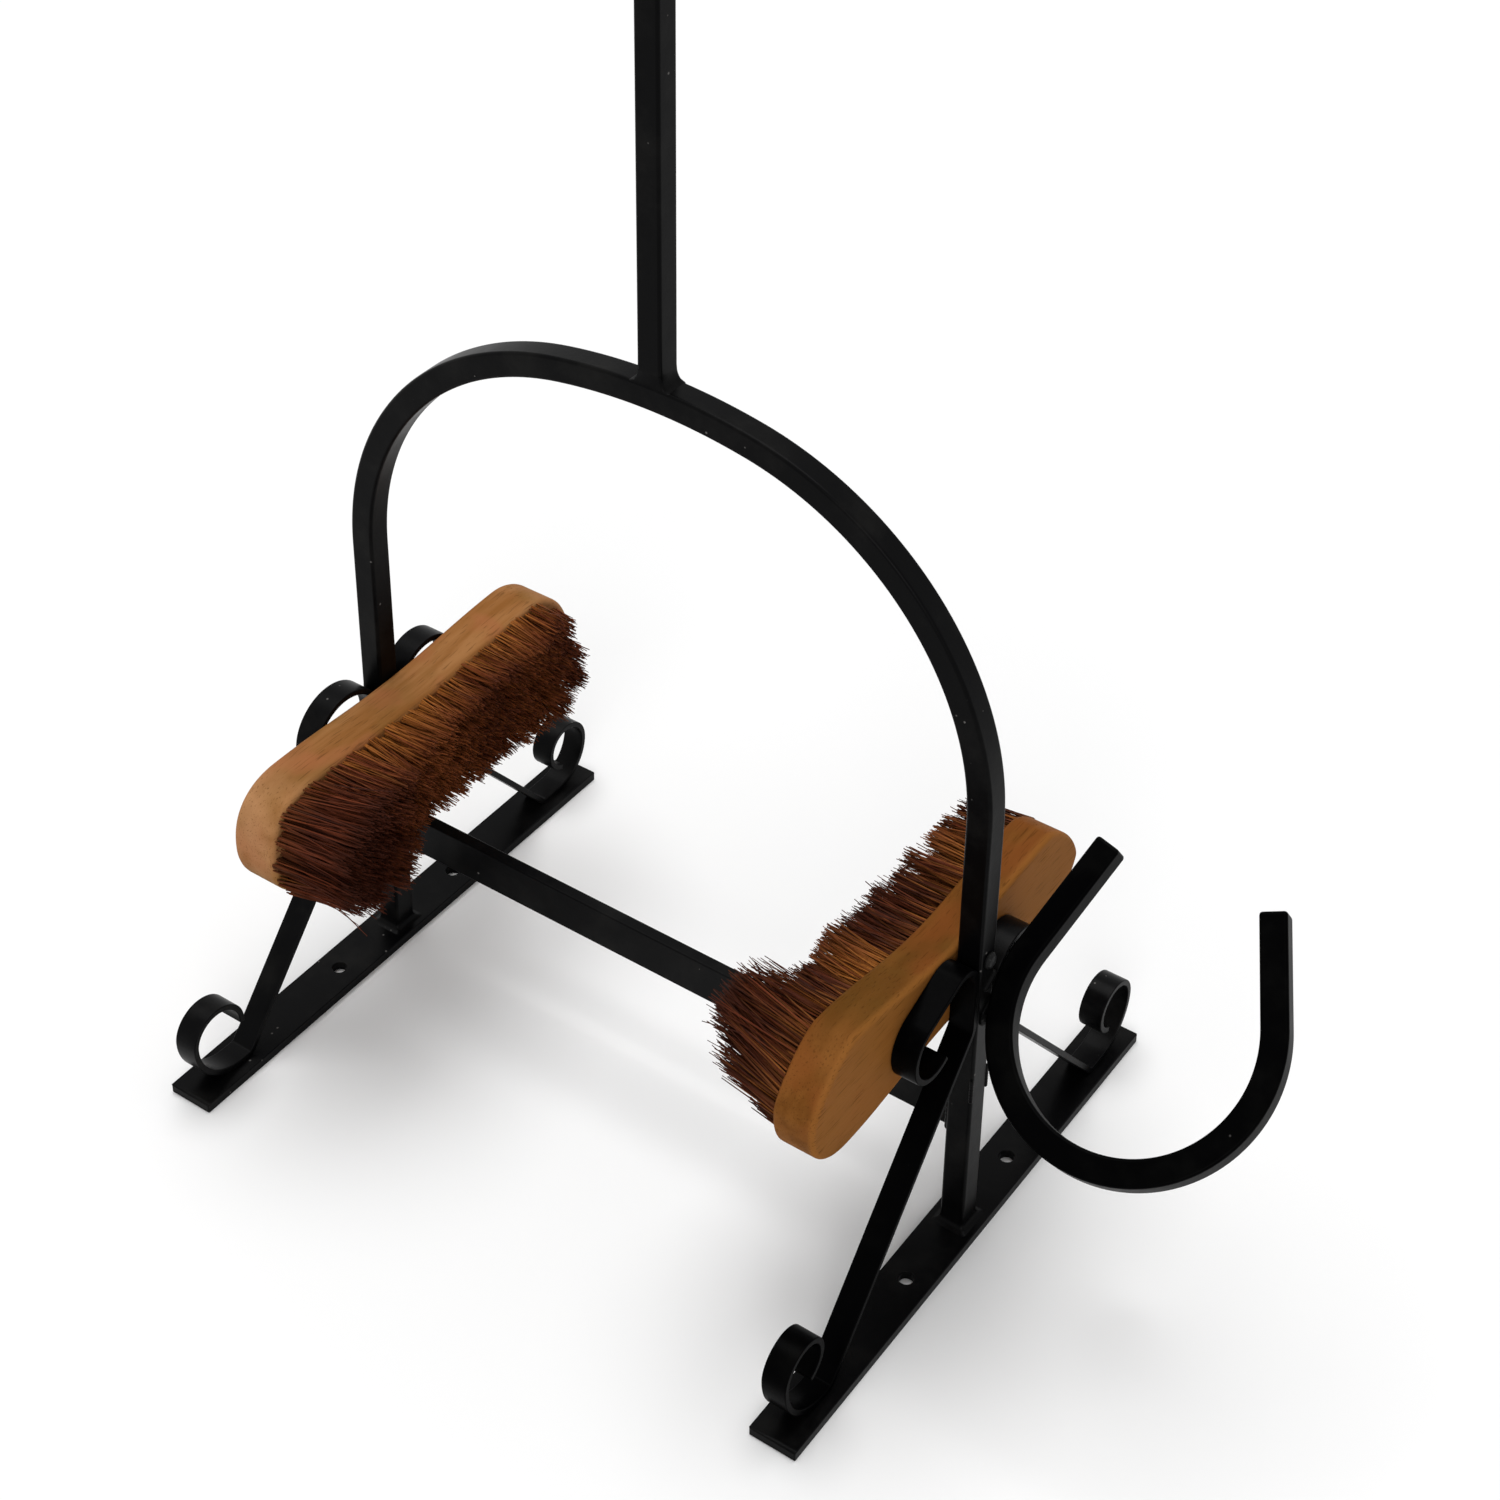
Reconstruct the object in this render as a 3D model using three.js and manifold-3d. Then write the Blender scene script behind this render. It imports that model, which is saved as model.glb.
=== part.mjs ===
// Boot scraper with a tall handle, two scrubbing brushes and a boot jack.
// Millimetres, +Z up. X runs from the left foot to the right foot and Y from
// the near ends of the feet to the far ends. The feet stand on Z = 0.
// The frame is welded from one square bar, one flat bar and one thin strip.

import * as THREE from 'three';
import { mergeVertices } from 'three/addons/utils/BufferGeometryUtils.js';
import Module from 'manifold-3d';

const wasm = await Module();
wasm.setup();

const DEGREE = Math.PI / 180;

// Square bar of the arch, the handle and the boot jack
const BAR_SIDE = 12.5;
const BAR_CORNER = 1.6;

// Feet: flat bars that lie on the ground, each with two fixing holes
const FOOT_SPACING = 340;
const FOOT_LENGTH = 300;
const FOOT_WIDTH = 24;
const FOOT_THICKNESS = 5;
const FOOT_EDGE = 0.6;
const FOOT_HOLE_DIAMETER = 7;
const FOOT_HOLE_PITCH = 88;

// Arch: upright legs, round shoulders and a flatter crown
const LEG_STRAIGHT = 239.6;
const SHOULDER_RADIUS = 146;
const SHOULDER_ANGLE = 79.5;

// Handle: a stem on the crown and a bar across its top
const HANDLE_TOP = 900;
const CROSSBAR_LENGTH = 150;

// Scraper bar between the legs
const SCRAPER_HEIGHT = 22;
const SCRAPER_THICKNESS = 6.5;
const SCRAPER_UNDERSIDE = 63;
const SCRAPER_EDGE = 0.8;

// Braces: strips that run from scrolls on the feet to scrolls on the legs
const STRIP_THICKNESS = 3;
const STRIP_EDGE = 0.5;
const BRACE_SLOPE = 50;
const BRACE_FOOT_REACH = 112.5;
const BRACE_FOOT_BEND = 4;
const BRACE_LEG_BEND = 9;
// Each scroll is three bends, the last one up to its loose end
const QUARTER_TURN = 90;
const LOWER_SCROLL_START = 124.8;
const LOWER_SCROLL_ROOT_RADIUS = 23.5;
const LOWER_SCROLL_TOP_RADIUS = 18.2;
const LOWER_SCROLL_END_RADIUS = 14.5;
const LOWER_SCROLL_END_ANGLE = 130;
const UPPER_SCROLL_START = 149;
const UPPER_SCROLL_ROOT_RADIUS = 23;
const UPPER_SCROLL_TOP_RADIUS = 22;
const UPPER_SCROLL_END_RADIUS = 17;
const UPPER_SCROLL_END_ANGLE = 100;
const BACK_RIGHT_SCROLL_DROP = 5;

// The front right upper scroll is bent flat on top: a tight bend off the leg,
// a straight piece and a tighter curl
const FLAT_SCROLL_RISE = 4.5;
const FLAT_SCROLL_ROOT_RADIUS = 9;
const FLAT_SCROLL_STRAIGHT = 20;
const FLAT_SCROLL_TOP_RADIUS = 15;
const FLAT_SCROLL_END_RADIUS = 14.5;

// The upper scrolls are bent by hand, so the back ones are tighter
const roundScroll = (tightness) => ({
  root: UPPER_SCROLL_ROOT_RADIUS * tightness,
  straight: 0,
  top: UPPER_SCROLL_TOP_RADIUS * tightness,
  end: UPPER_SCROLL_END_RADIUS * tightness,
});
const FLAT_SCROLL = {
  root: FLAT_SCROLL_ROOT_RADIUS,
  straight: FLAT_SCROLL_STRAIGHT,
  top: FLAT_SCROLL_TOP_RADIUS,
  end: FLAT_SCROLL_END_RADIUS,
};
const BRACES = [
  { name: 'front_left_brace', side: -1, end: -1, scroll: roundScroll(1), rise: 0 },
  { name: 'front_right_brace', side: 1, end: -1, scroll: FLAT_SCROLL, rise: FLAT_SCROLL_RISE },
  { name: 'back_left_brace', side: -1, end: 1, scroll: roundScroll(0.88), rise: 0 },
  {
    name: 'back_right_brace',
    side: 1,
    end: 1,
    scroll: roundScroll(0.8),
    rise: -BACK_RIGHT_SCROLL_DROP,
  },
];

// Boot jack: a horseshoe of the square bar on the outside of the right leg
const JACK_RADIUS = 60;
const JACK_CLOSING = 19;
const JACK_INNER_PRONG = 57;
const JACK_OUTER_PRONG = 49.5;
const JACK_TILT = 37.3;
const JACK_TURN = 6.8;
const JACK_SETBACK = 14.7;
const JACK_HEIGHT = 152.5;

// Brushes: waisted wooden blocks screwed to the insides of the legs. They are
// cut and rounded by hand, so each brush has its own sizes.
const BLOCK_EDGE = 3;
const SLICE_THICKNESS = 3;

const LEFT_BLOCK_LENGTH = 218.5;
const LEFT_BLOCK_WIDTH = 62.2;
const LEFT_BLOCK_WAIST = 49.4;
const LEFT_BLOCK_THICKNESS = 24.5;
const LEFT_BRUSH_HEIGHT = 138.7;
const LEFT_BRUSH_SHIFT = -0.55;
const LEFT_NEAR_BRISTLE = 40;
const LEFT_MIDDLE_BRISTLE = 22;
const LEFT_FAR_BRISTLE = 23;

const RIGHT_BLOCK_LENGTH = 218;
const RIGHT_BLOCK_WIDTH = 59;
const RIGHT_BLOCK_WAIST = 43;
const RIGHT_BLOCK_THICKNESS = 21;
const RIGHT_BRUSH_HEIGHT = 152;
const RIGHT_BRUSH_SHIFT = -6;
const RIGHT_NEAR_BRISTLE = 46;
const RIGHT_MIDDLE_BRISTLE = 33;
const RIGHT_FAR_BRISTLE = 26;

const BRISTLE_END_MARGIN = 3.5;
const BRISTLE_FAR_MARGIN = 8;

// An end of power 1 is a half circle, one of a higher power is more pointed
// and one of a lower power is squarer. The corner that has its own power is the
// lower one at the right block's near end.
const LEFT_BRUSH = {
  name: 'left',
  side: -1,
  length: LEFT_BLOCK_LENGTH,
  width: LEFT_BLOCK_WIDTH,
  waist: LEFT_BLOCK_WAIST,
  thickness: LEFT_BLOCK_THICKNESS,
  endPower: 1,
  cornerPower: 1,
  farMargin: BRISTLE_FAR_MARGIN,
  height: LEFT_BRUSH_HEIGHT,
  shift: LEFT_BRUSH_SHIFT,
  pitch: -1,
  nearBristle: LEFT_NEAR_BRISTLE,
  middleBristle: LEFT_MIDDLE_BRISTLE,
  farBristle: LEFT_FAR_BRISTLE,
};
const RIGHT_BRUSH = {
  name: 'right',
  side: 1,
  length: RIGHT_BLOCK_LENGTH,
  width: RIGHT_BLOCK_WIDTH,
  waist: RIGHT_BLOCK_WAIST,
  thickness: RIGHT_BLOCK_THICKNESS,
  endPower: 1.4,
  cornerPower: 0.85,
  farMargin: BRISTLE_END_MARGIN,
  height: RIGHT_BRUSH_HEIGHT,
  shift: RIGHT_BRUSH_SHIFT,
  pitch: 1.9,
  nearBristle: RIGHT_NEAR_BRISTLE,
  middleBristle: RIGHT_MIDDLE_BRISTLE,
  farBristle: RIGHT_FAR_BRISTLE,
};

// Bristles: stiff three-sided strands in staggered rows. The strands at the
// ends gather a little towards the middle.
const BRISTLE_ROW_STEP = 6;
const BRISTLE_STEP = 7.4;
const BRISTLE_SIDE_MARGIN = 2.6;
const BRISTLE_ROOT_RADIUS = 1.7;
const BRISTLE_TIP_RADIUS = 0.8;
const BRISTLE_GATHER = 0.0022;
const BRISTLE_STRAY = 1.1;
const BRISTLE_UNEVEN = 3;
const BRISTLE_ROOT_DEPTH = 1;

// Screws that hold the brushes, put in from the outsides of the legs
const SCREW_PITCH = 34;
const SCREW_DIAMETER = 4.2;
const SCREW_GRIP = 14;
const SCREW_POINT = 3;
const SCREW_HEAD_DIAMETER = 8;
const SCREW_HEAD_HEIGHT = 2.6;

// Running clearances
const SEAT_GAP = 0.3;
const LEG_HOLE_CLEARANCE = 0.8;

// Facets
const BEND_STEP = 9;
const SCROLL_STEP = 15;
// An odd number of facets puts a level one under the stem
const CROWN_STEPS = 5;
const HOLE_SEGMENTS = 16;
const SCREW_SEGMENTS = 14;
const BLOCK_END_STEPS = 9;
const BLOCK_WAIST_STEPS = 14;

const halfBar = BAR_SIDE / 2;
const legX = FOOT_SPACING / 2;
const legInside = legX - halfBar;
const legOutside = legX + halfBar;

const blackPaint = { color: 0x0b0b0c, roughness: 0.25, metalness: 0.3 };
const wood = { color: 0xb5773a, roughness: 0.5, metalness: 0 };
const coir = { color: 0x4a1d10, roughness: 0.9, metalness: 0 };
const blackScrew = { color: 0x141414, roughness: 0.4, metalness: 0.3 };

// Centre line of a bent bar, drawn as a bender works it: straights and bends.
// A positive bend turns left and a negative bend turns right.
class BendLine {
  constructor(x, y, headingDegrees) {
    this.stations = [{ x, y, heading: headingDegrees * DEGREE }];
  }

  end() {
    return this.stations[this.stations.length - 1];
  }

  straight(length) {
    const from = this.end();
    this.stations.push({
      x: from.x + length * Math.cos(from.heading),
      y: from.y + length * Math.sin(from.heading),
      heading: from.heading,
    });
    return this;
  }

  bend(radius, degrees, stepDegrees = BEND_STEP) {
    const from = this.end();
    const turn = Math.sign(degrees);
    const steps = Math.max(2, Math.ceil(Math.abs(degrees) / stepDegrees));
    const centreX = from.x - turn * radius * Math.sin(from.heading);
    const centreY = from.y + turn * radius * Math.cos(from.heading);
    for (let i = 1; i <= steps; i += 1) {
      const heading = from.heading + (degrees * DEGREE * i) / steps;
      this.stations.push({
        x: centreX + turn * radius * Math.sin(heading),
        y: centreY - turn * radius * Math.cos(heading),
        heading,
      });
    }
    return this;
  }

  // Outline of a bar of the given half thickness that follows the line
  outline(halfThickness) {
    const offset = (station, distance) => new THREE.Vector2(
      station.x - distance * Math.sin(station.heading),
      station.y + distance * Math.cos(station.heading),
    );
    const left = this.stations.map((station) => offset(station, halfThickness));
    const right = this.stations.map((station) => offset(station, -halfThickness));
    return new THREE.Shape([...right, ...left.reverse()]);
  }
}

// Plate of the given outline, centred on its own plane, with eased edges
function easedPlate(shape, thickness, edge, edgeSegments = 1) {
  const geometry = new THREE.ExtrudeGeometry(shape, {
    depth: thickness - 2 * edge,
    bevelEnabled: true,
    bevelThickness: edge,
    bevelSize: edge,
    bevelOffset: -edge,
    bevelSegments: edgeSegments,
    curveSegments: HOLE_SEGMENTS / 4,
  });
  geometry.translate(0, 0, edge - thickness / 2);
  return geometry;
}

function bentSquareBar(line) {
  return easedPlate(line.outline(halfBar), BAR_SIDE, BAR_CORNER, 2);
}

function solidOf(geometry) {
  const bare = geometry.clone();
  bare.deleteAttribute('normal');
  bare.deleteAttribute('uv');
  const merged = mergeVertices(bare, 1e-4);
  return new wasm.Manifold(new wasm.Mesh({
    numProp: 3,
    vertProperties: new Float32Array(merged.attributes.position.array),
    triVerts: new Uint32Array(merged.index.array),
  }));
}

function geometryOf(solid) {
  const mesh = solid.getMesh();
  const geometry = new THREE.BufferGeometry();
  geometry.setAttribute('position', new THREE.BufferAttribute(mesh.vertProperties, 3));
  geometry.setIndex(new THREE.BufferAttribute(mesh.triVerts, 1));
  geometry.computeVertexNormals();
  return geometry;
}

function part(name, geometry, finish) {
  const mesh = new THREE.Mesh(geometry, new THREE.MeshStandardMaterial(finish));
  mesh.name = name;
  return mesh;
}

// Foot, drawn in plan with its two fixing holes
function footGeometry() {
  const halfWidth = FOOT_WIDTH / 2;
  const halfLength = FOOT_LENGTH / 2;
  const plan = new THREE.Shape([
    new THREE.Vector2(-halfWidth, -halfLength),
    new THREE.Vector2(halfWidth, -halfLength),
    new THREE.Vector2(halfWidth, halfLength),
    new THREE.Vector2(-halfWidth, halfLength),
  ]);
  for (const end of [-1, 1]) {
    const hole = new THREE.Path();
    hole.absarc(0, (end * FOOT_HOLE_PITCH) / 2, FOOT_HOLE_DIAMETER / 2, 0, 2 * Math.PI, true);
    plan.holes.push(hole);
  }
  return easedPlate(plan, FOOT_THICKNESS, FOOT_EDGE);
}

// The crown arc closes the arch on the middle plane, so its radius follows
// from the spacing, the shoulder radius and the shoulder angle.
function crownRadius() {
  const angle = SHOULDER_ANGLE * DEGREE;
  const shoulderCentre = legX - SHOULDER_RADIUS;
  return SHOULDER_RADIUS + shoulderCentre / Math.cos(angle);
}

function archLine() {
  const crownHalfAngle = 90 - SHOULDER_ANGLE;
  return new BendLine(legX, FOOT_THICKNESS, 90)
    .straight(LEG_STRAIGHT)
    .bend(SHOULDER_RADIUS, SHOULDER_ANGLE)
    .bend(crownRadius(), 2 * crownHalfAngle, (2 * crownHalfAngle) / CROWN_STEPS)
    .bend(SHOULDER_RADIUS, SHOULDER_ANGLE)
    .straight(LEG_STRAIGHT);
}

function crownTop() {
  const heights = archLine().stations.map((station) => station.y);
  return Math.max(...heights) + halfBar;
}

function screwHeights(brush) {
  return [brush.height - SCREW_PITCH / 2, brush.height + SCREW_PITCH / 2];
}

// Arch with the clearance holes of the brush screws through its legs
function archGeometry() {
  let arch = solidOf(bentSquareBar(archLine()));
  const holeRadius = (SCREW_DIAMETER + LEG_HOLE_CLEARANCE) / 2;
  for (const brush of [LEFT_BRUSH, RIGHT_BRUSH]) {
    for (const height of screwHeights(brush)) {
      const drill = new THREE.CylinderGeometry(holeRadius, holeRadius, 2 * BAR_SIDE, HOLE_SEGMENTS);
      drill.rotateZ(Math.PI / 2);
      drill.translate(brush.side * legX, height, 0);
      arch = arch.subtract(solidOf(drill));
    }
  }
  return geometryOf(arch);
}

// Brace, drawn in its own upright plane: x is the distance out from the leg
// and y the height. It starts at the loose end of the scroll on the foot.
function braceGeometry(brace) {
  const half = STRIP_THICKNESS / 2;
  const slope = BRACE_SLOPE * DEGREE;
  const onFoot = FOOT_THICKNESS + half;
  const onLeg = halfBar + half;

  // Tangent points of the bend on the foot and of the bend at the leg, on the
  // sloping centre line, whose underside meets the foot at its reach
  const footTangent = BRACE_FOOT_BEND * Math.tan(slope / 2);
  const legTangent = BRACE_LEG_BEND * Math.tan((Math.PI / 2 - slope) / 2);
  const kneeX = BRACE_FOOT_REACH + half * Math.tan(slope / 2);
  const kneeHeight = onFoot + (kneeX - onLeg) * Math.tan(slope);
  const slopeLength = (kneeX - onLeg) / Math.cos(slope);

  const looseEnd = new BendLine(LOWER_SCROLL_START, onFoot, 0)
    .bend(LOWER_SCROLL_ROOT_RADIUS, QUARTER_TURN)
    .bend(LOWER_SCROLL_TOP_RADIUS, QUARTER_TURN)
    .bend(LOWER_SCROLL_END_RADIUS, LOWER_SCROLL_END_ANGLE)
    .end();
  const line = new BendLine(looseEnd.x, looseEnd.y, looseEnd.heading / DEGREE - 180)
    .bend(LOWER_SCROLL_END_RADIUS, -LOWER_SCROLL_END_ANGLE, SCROLL_STEP)
    .bend(LOWER_SCROLL_TOP_RADIUS, -QUARTER_TURN, SCROLL_STEP)
    .bend(LOWER_SCROLL_ROOT_RADIUS, -QUARTER_TURN, SCROLL_STEP)
    .straight(LOWER_SCROLL_START - kneeX - footTangent)
    .bend(BRACE_FOOT_BEND, -BRACE_SLOPE, SCROLL_STEP)
    .straight(slopeLength - footTangent - legTangent)
    .bend(BRACE_LEG_BEND, BRACE_SLOPE - QUARTER_TURN, SCROLL_STEP)
    .straight(UPPER_SCROLL_START + brace.rise - kneeHeight - legTangent)
    .bend(brace.scroll.root, -QUARTER_TURN, SCROLL_STEP)
    .straight(brace.scroll.straight)
    .bend(brace.scroll.top, -QUARTER_TURN, SCROLL_STEP)
    .bend(brace.scroll.end, -UPPER_SCROLL_END_ANGLE, SCROLL_STEP);
  return easedPlate(line.outline(half), BAR_SIDE, STRIP_EDGE);
}

// Boot jack, drawn flat: a round bottom, then two prongs that close in. It
// starts at the tip of the inner prong, the longer one beside the leg.
function jackGeometry() {
  const closing = JACK_CLOSING * DEGREE;
  const x = -JACK_RADIUS * Math.cos(closing) + JACK_INNER_PRONG * Math.sin(closing);
  const y = JACK_RADIUS * Math.sin(closing) + JACK_INNER_PRONG * Math.cos(closing);
  const line = new BendLine(x, y, -QUARTER_TURN - JACK_CLOSING)
    .straight(JACK_INNER_PRONG)
    .bend(JACK_RADIUS, 2 * QUARTER_TURN + 2 * JACK_CLOSING)
    .straight(JACK_OUTER_PRONG);
  return bentSquareBar(line);
}

// Distance from the middle of a block to the widest place of its ends
function bulgePlace(brush) {
  return (brush.length - brush.width) / 2;
}

// Half width of the waist between those two places
function waistHalfWidth(brush, distance) {
  const share = Math.abs(distance) / bulgePlace(brush);
  const ease = (1 - Math.cos(Math.PI * share)) / 2;
  return (brush.waist + (brush.width - brush.waist) * ease) / 2;
}

// Half width of the round end at a distance past the widest place
function endHalfWidth(brush, past) {
  const radius = brush.width / 2;
  const share = Math.min(1, past / radius);
  return radius * (1 - share ** (2 / brush.endPower)) ** (brush.endPower / 2);
}

function blockHalfWidth(brush, distance) {
  const past = Math.abs(distance) - bulgePlace(brush);
  return past > 0 ? endHalfWidth(brush, past) : waistHalfWidth(brush, distance);
}

// Outline of the brush block: a waist between two round ends
function blockOutline(brush) {
  const bulgeAt = bulgePlace(brush);
  const radius = brush.width / 2;
  const half = [];
  for (let i = 0; i <= BLOCK_WAIST_STEPS; i += 1) {
    const x = bulgeAt - (2 * bulgeAt * i) / BLOCK_WAIST_STEPS;
    half.push(new THREE.Vector2(x, waistHalfWidth(brush, x)));
  }
  for (let i = 1; i < 2 * BLOCK_END_STEPS; i += 1) {
    const angle = (Math.PI / 2) * (1 - i / BLOCK_END_STEPS);
    const past = radius * Math.cos(angle) ** brush.endPower;
    const side = Math.sign(angle) * radius * Math.abs(Math.sin(angle)) ** brush.endPower;
    half.push(new THREE.Vector2(-bulgeAt - past, side));
  }
  const otherHalf = half.map((point) => new THREE.Vector2(-point.x, -point.y));
  for (let i = 1; i < BLOCK_END_STEPS; i += 1) {
    const angle = (Math.PI / 2) * (1 - i / BLOCK_END_STEPS);
    const past = radius * Math.cos(angle) ** brush.cornerPower;
    const side = -radius * Math.sin(angle) ** brush.cornerPower;
    otherHalf[BLOCK_WAIST_STEPS + i].set(bulgeAt + past, side);
  }
  return new THREE.Shape([...half, ...otherHalf]);
}

// Whole block with its back on z = 0 and its bristle face on z = thickness
function wholeBlock(brush) {
  const block = easedPlate(blockOutline(brush), brush.thickness, BLOCK_EDGE, 2);
  block.translate(0, 0, brush.thickness / 2);
  return solidOf(block);
}

// Box that holds everything in front of the cut between block and slice
function frontOfCut(brush) {
  const size = 2 * brush.length;
  const box = new THREE.BoxGeometry(size, size, size);
  box.translate(0, 0, brush.thickness - SLICE_THICKNESS + size / 2);
  return solidOf(box);
}

// Place of a screw on the block, which is turned by the brush's pitch and
// stands off the middle of the leg by the brush's shift
function screwOnBlock(brush, offset) {
  const pitch = brush.pitch * DEGREE;
  const across = brush.shift * Math.cos(pitch) + offset * Math.sin(pitch);
  const up = offset * Math.cos(pitch) - brush.shift * Math.sin(pitch);
  return new THREE.Vector2(brush.side * across, up);
}

function blockGeometry(brush) {
  let block = wholeBlock(brush).subtract(frontOfCut(brush));
  const holeRadius = SCREW_DIAMETER / 2 + SEAT_GAP;
  const depth = SCREW_GRIP + 2 * SEAT_GAP;
  for (const offset of [-SCREW_PITCH / 2, SCREW_PITCH / 2]) {
    const place = screwOnBlock(brush, offset);
    const drill = new THREE.CylinderGeometry(holeRadius, holeRadius, 2 * depth, HOLE_SEGMENTS);
    drill.rotateX(Math.PI / 2);
    drill.translate(place.x, place.y, 0);
    block = block.subtract(solidOf(drill));
  }
  return geometryOf(block);
}

// Repeatable scatter between -1 and 1 from a strand's row, place and use
function scatter(row, place, use) {
  const wave = Math.sin(row * 127.1 + place * 311.7 + use * 74.7) * 43758.5453;
  return 2 * (wave - Math.floor(wave)) - 1;
}

// Bristle length from the near end of a brush (-1) to its far end (1)
function bristleLength(brush, share) {
  const lean = (brush.farBristle - brush.nearBristle) / 2;
  const cup = (brush.farBristle + brush.nearBristle) / 2 - brush.middleBristle;
  return brush.middleBristle + lean * share + cup * share * share;
}

// Roots of the strands in staggered rows inside the block's outline
function bristleRoots(brush) {
  const roots = [];
  const rows = Math.floor(brush.width / 2 / BRISTLE_ROW_STEP);
  const columns = Math.floor(brush.length / 2 / BRISTLE_STEP);
  const reachOf = (margin) => brush.length / (brush.length - 2 * margin);
  const nearReach = reachOf(BRISTLE_END_MARGIN);
  const farReach = reachOf(brush.farMargin);
  for (let row = -rows; row <= rows; row += 1) {
    const stagger = (Math.abs(row) % 2) / 2;
    for (let column = -columns; column <= columns; column += 1) {
      const x = (column + stagger) * BRISTLE_STEP;
      const y = row * BRISTLE_ROW_STEP;
      const reach = brush.side * x > 0 ? nearReach : farReach;
      if (Math.abs(y) < blockHalfWidth(brush, x * reach) - BRISTLE_SIDE_MARGIN) {
        roots.push({ row, column, x, y });
      }
    }
  }
  return roots;
}

// Slice of the block with its bristles. Local x points to the far end on the
// left brush and to the near end on the right brush.
function bristleGeometry(brush) {
  let bristles = wholeBlock(brush).intersect(frontOfCut(brush));
  const up = new THREE.Vector3(0, 1, 0);
  for (const root of bristleRoots(brush)) {
    const share = (-brush.side * root.x * 2) / brush.length;
    const uneven = BRISTLE_UNEVEN * scatter(root.row, root.column, 1);
    const length = bristleLength(brush, share) + uneven;
    const gather = BRISTLE_GATHER * length;
    const lean = new THREE.Vector3(
      BRISTLE_STRAY * scatter(root.row, root.column, 2) - root.x * gather,
      BRISTLE_STRAY * scatter(root.row, root.column, 3),
      length,
    );
    const whole = lean.length() + BRISTLE_ROOT_DEPTH;
    const strand = new THREE.CylinderGeometry(
      BRISTLE_TIP_RADIUS,
      BRISTLE_ROOT_RADIUS,
      whole,
      3,
      1,
    );
    strand.rotateY(Math.PI * scatter(root.row, root.column, 4));
    strand.translate(0, whole / 2 - BRISTLE_ROOT_DEPTH, 0);
    const turn = new THREE.Quaternion().setFromUnitVectors(up, lean.clone().normalize());
    strand.applyQuaternion(turn);
    strand.translate(root.x, root.y, brush.thickness);
    bristles = bristles.add(solidOf(strand));
  }
  return geometryOf(bristles);
}

// Domed wood screw along y, with the underside of its head on y = 0
function screwGeometry() {
  const shank = SCREW_DIAMETER / 2;
  const head = SCREW_HEAD_DIAMETER / 2;
  const length = SEAT_GAP + BAR_SIDE + SEAT_GAP + SCREW_GRIP;
  return new THREE.LatheGeometry([
    new THREE.Vector2(0, -length),
    new THREE.Vector2(shank, SCREW_POINT - length),
    new THREE.Vector2(shank, 0),
    new THREE.Vector2(head, 0),
    new THREE.Vector2(head, SCREW_HEAD_HEIGHT * 0.3),
    new THREE.Vector2(head * 0.75, SCREW_HEAD_HEIGHT * 0.8),
    new THREE.Vector2(head * 0.35, SCREW_HEAD_HEIGHT),
    new THREE.Vector2(0, SCREW_HEAD_HEIGHT),
  ], SCREW_SEGMENTS);
}

// Turns a plate drawn in x and y so that x runs along Y and y along Z
function standAcross(mesh, sense) {
  mesh.rotation.set(Math.PI / 2, (sense * Math.PI) / 2, 0);
  return mesh;
}

function feet() {
  return [-1, 1].map((side) => {
    const foot = part(side < 0 ? 'left_foot' : 'right_foot', footGeometry(), blackPaint);
    foot.position.set(side * legX, 0, FOOT_THICKNESS / 2);
    return foot;
  });
}

function archFrame() {
  const arch = part('arch_frame', archGeometry(), blackPaint);
  arch.rotation.x = Math.PI / 2;
  return arch;
}

function handle() {
  const stemLength = HANDLE_TOP - BAR_SIDE - crownTop();
  const stemLine = new BendLine(0, -stemLength / 2, 90).straight(stemLength);
  const stem = part('handle_stem', bentSquareBar(stemLine), blackPaint);
  stem.rotation.x = Math.PI / 2;
  stem.position.z = crownTop() + stemLength / 2;

  const barLine = new BendLine(-CROSSBAR_LENGTH / 2, 0, 0).straight(CROSSBAR_LENGTH);
  const crossbar = part('handle_crossbar', bentSquareBar(barLine), blackPaint);
  crossbar.position.z = HANDLE_TOP - halfBar;
  return [stem, crossbar];
}

function scraperBar() {
  const halfLength = legInside;
  const halfHeight = SCRAPER_HEIGHT / 2;
  const face = new THREE.Shape([
    new THREE.Vector2(-SCRAPER_THICKNESS / 2, -halfHeight),
    new THREE.Vector2(SCRAPER_THICKNESS / 2, -halfHeight),
    new THREE.Vector2(SCRAPER_THICKNESS / 2, halfHeight),
    new THREE.Vector2(-SCRAPER_THICKNESS / 2, halfHeight),
  ]);
  const scraper = part('scraper_bar', easedPlate(face, 2 * halfLength, SCRAPER_EDGE), blackPaint);
  standAcross(scraper, 1);
  scraper.position.z = SCRAPER_UNDERSIDE + halfHeight;
  return scraper;
}

function braces() {
  return BRACES.map((brace) => {
    const strip = standAcross(part(brace.name, braceGeometry(brace), blackPaint), brace.end);
    strip.position.x = brace.side * legX;
    return strip;
  });
}

function bootJack() {
  const jack = part('boot_jack', jackGeometry(), blackPaint);
  jack.rotation.z = JACK_TURN * DEGREE;
  const seat = new THREE.Group();
  seat.add(jack);
  seat.rotation.x = JACK_TILT * DEGREE;
  seat.position.set(
    legOutside + SEAT_GAP + halfBar + JACK_RADIUS,
    JACK_SETBACK,
    JACK_HEIGHT,
  );
  return seat;
}

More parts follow.
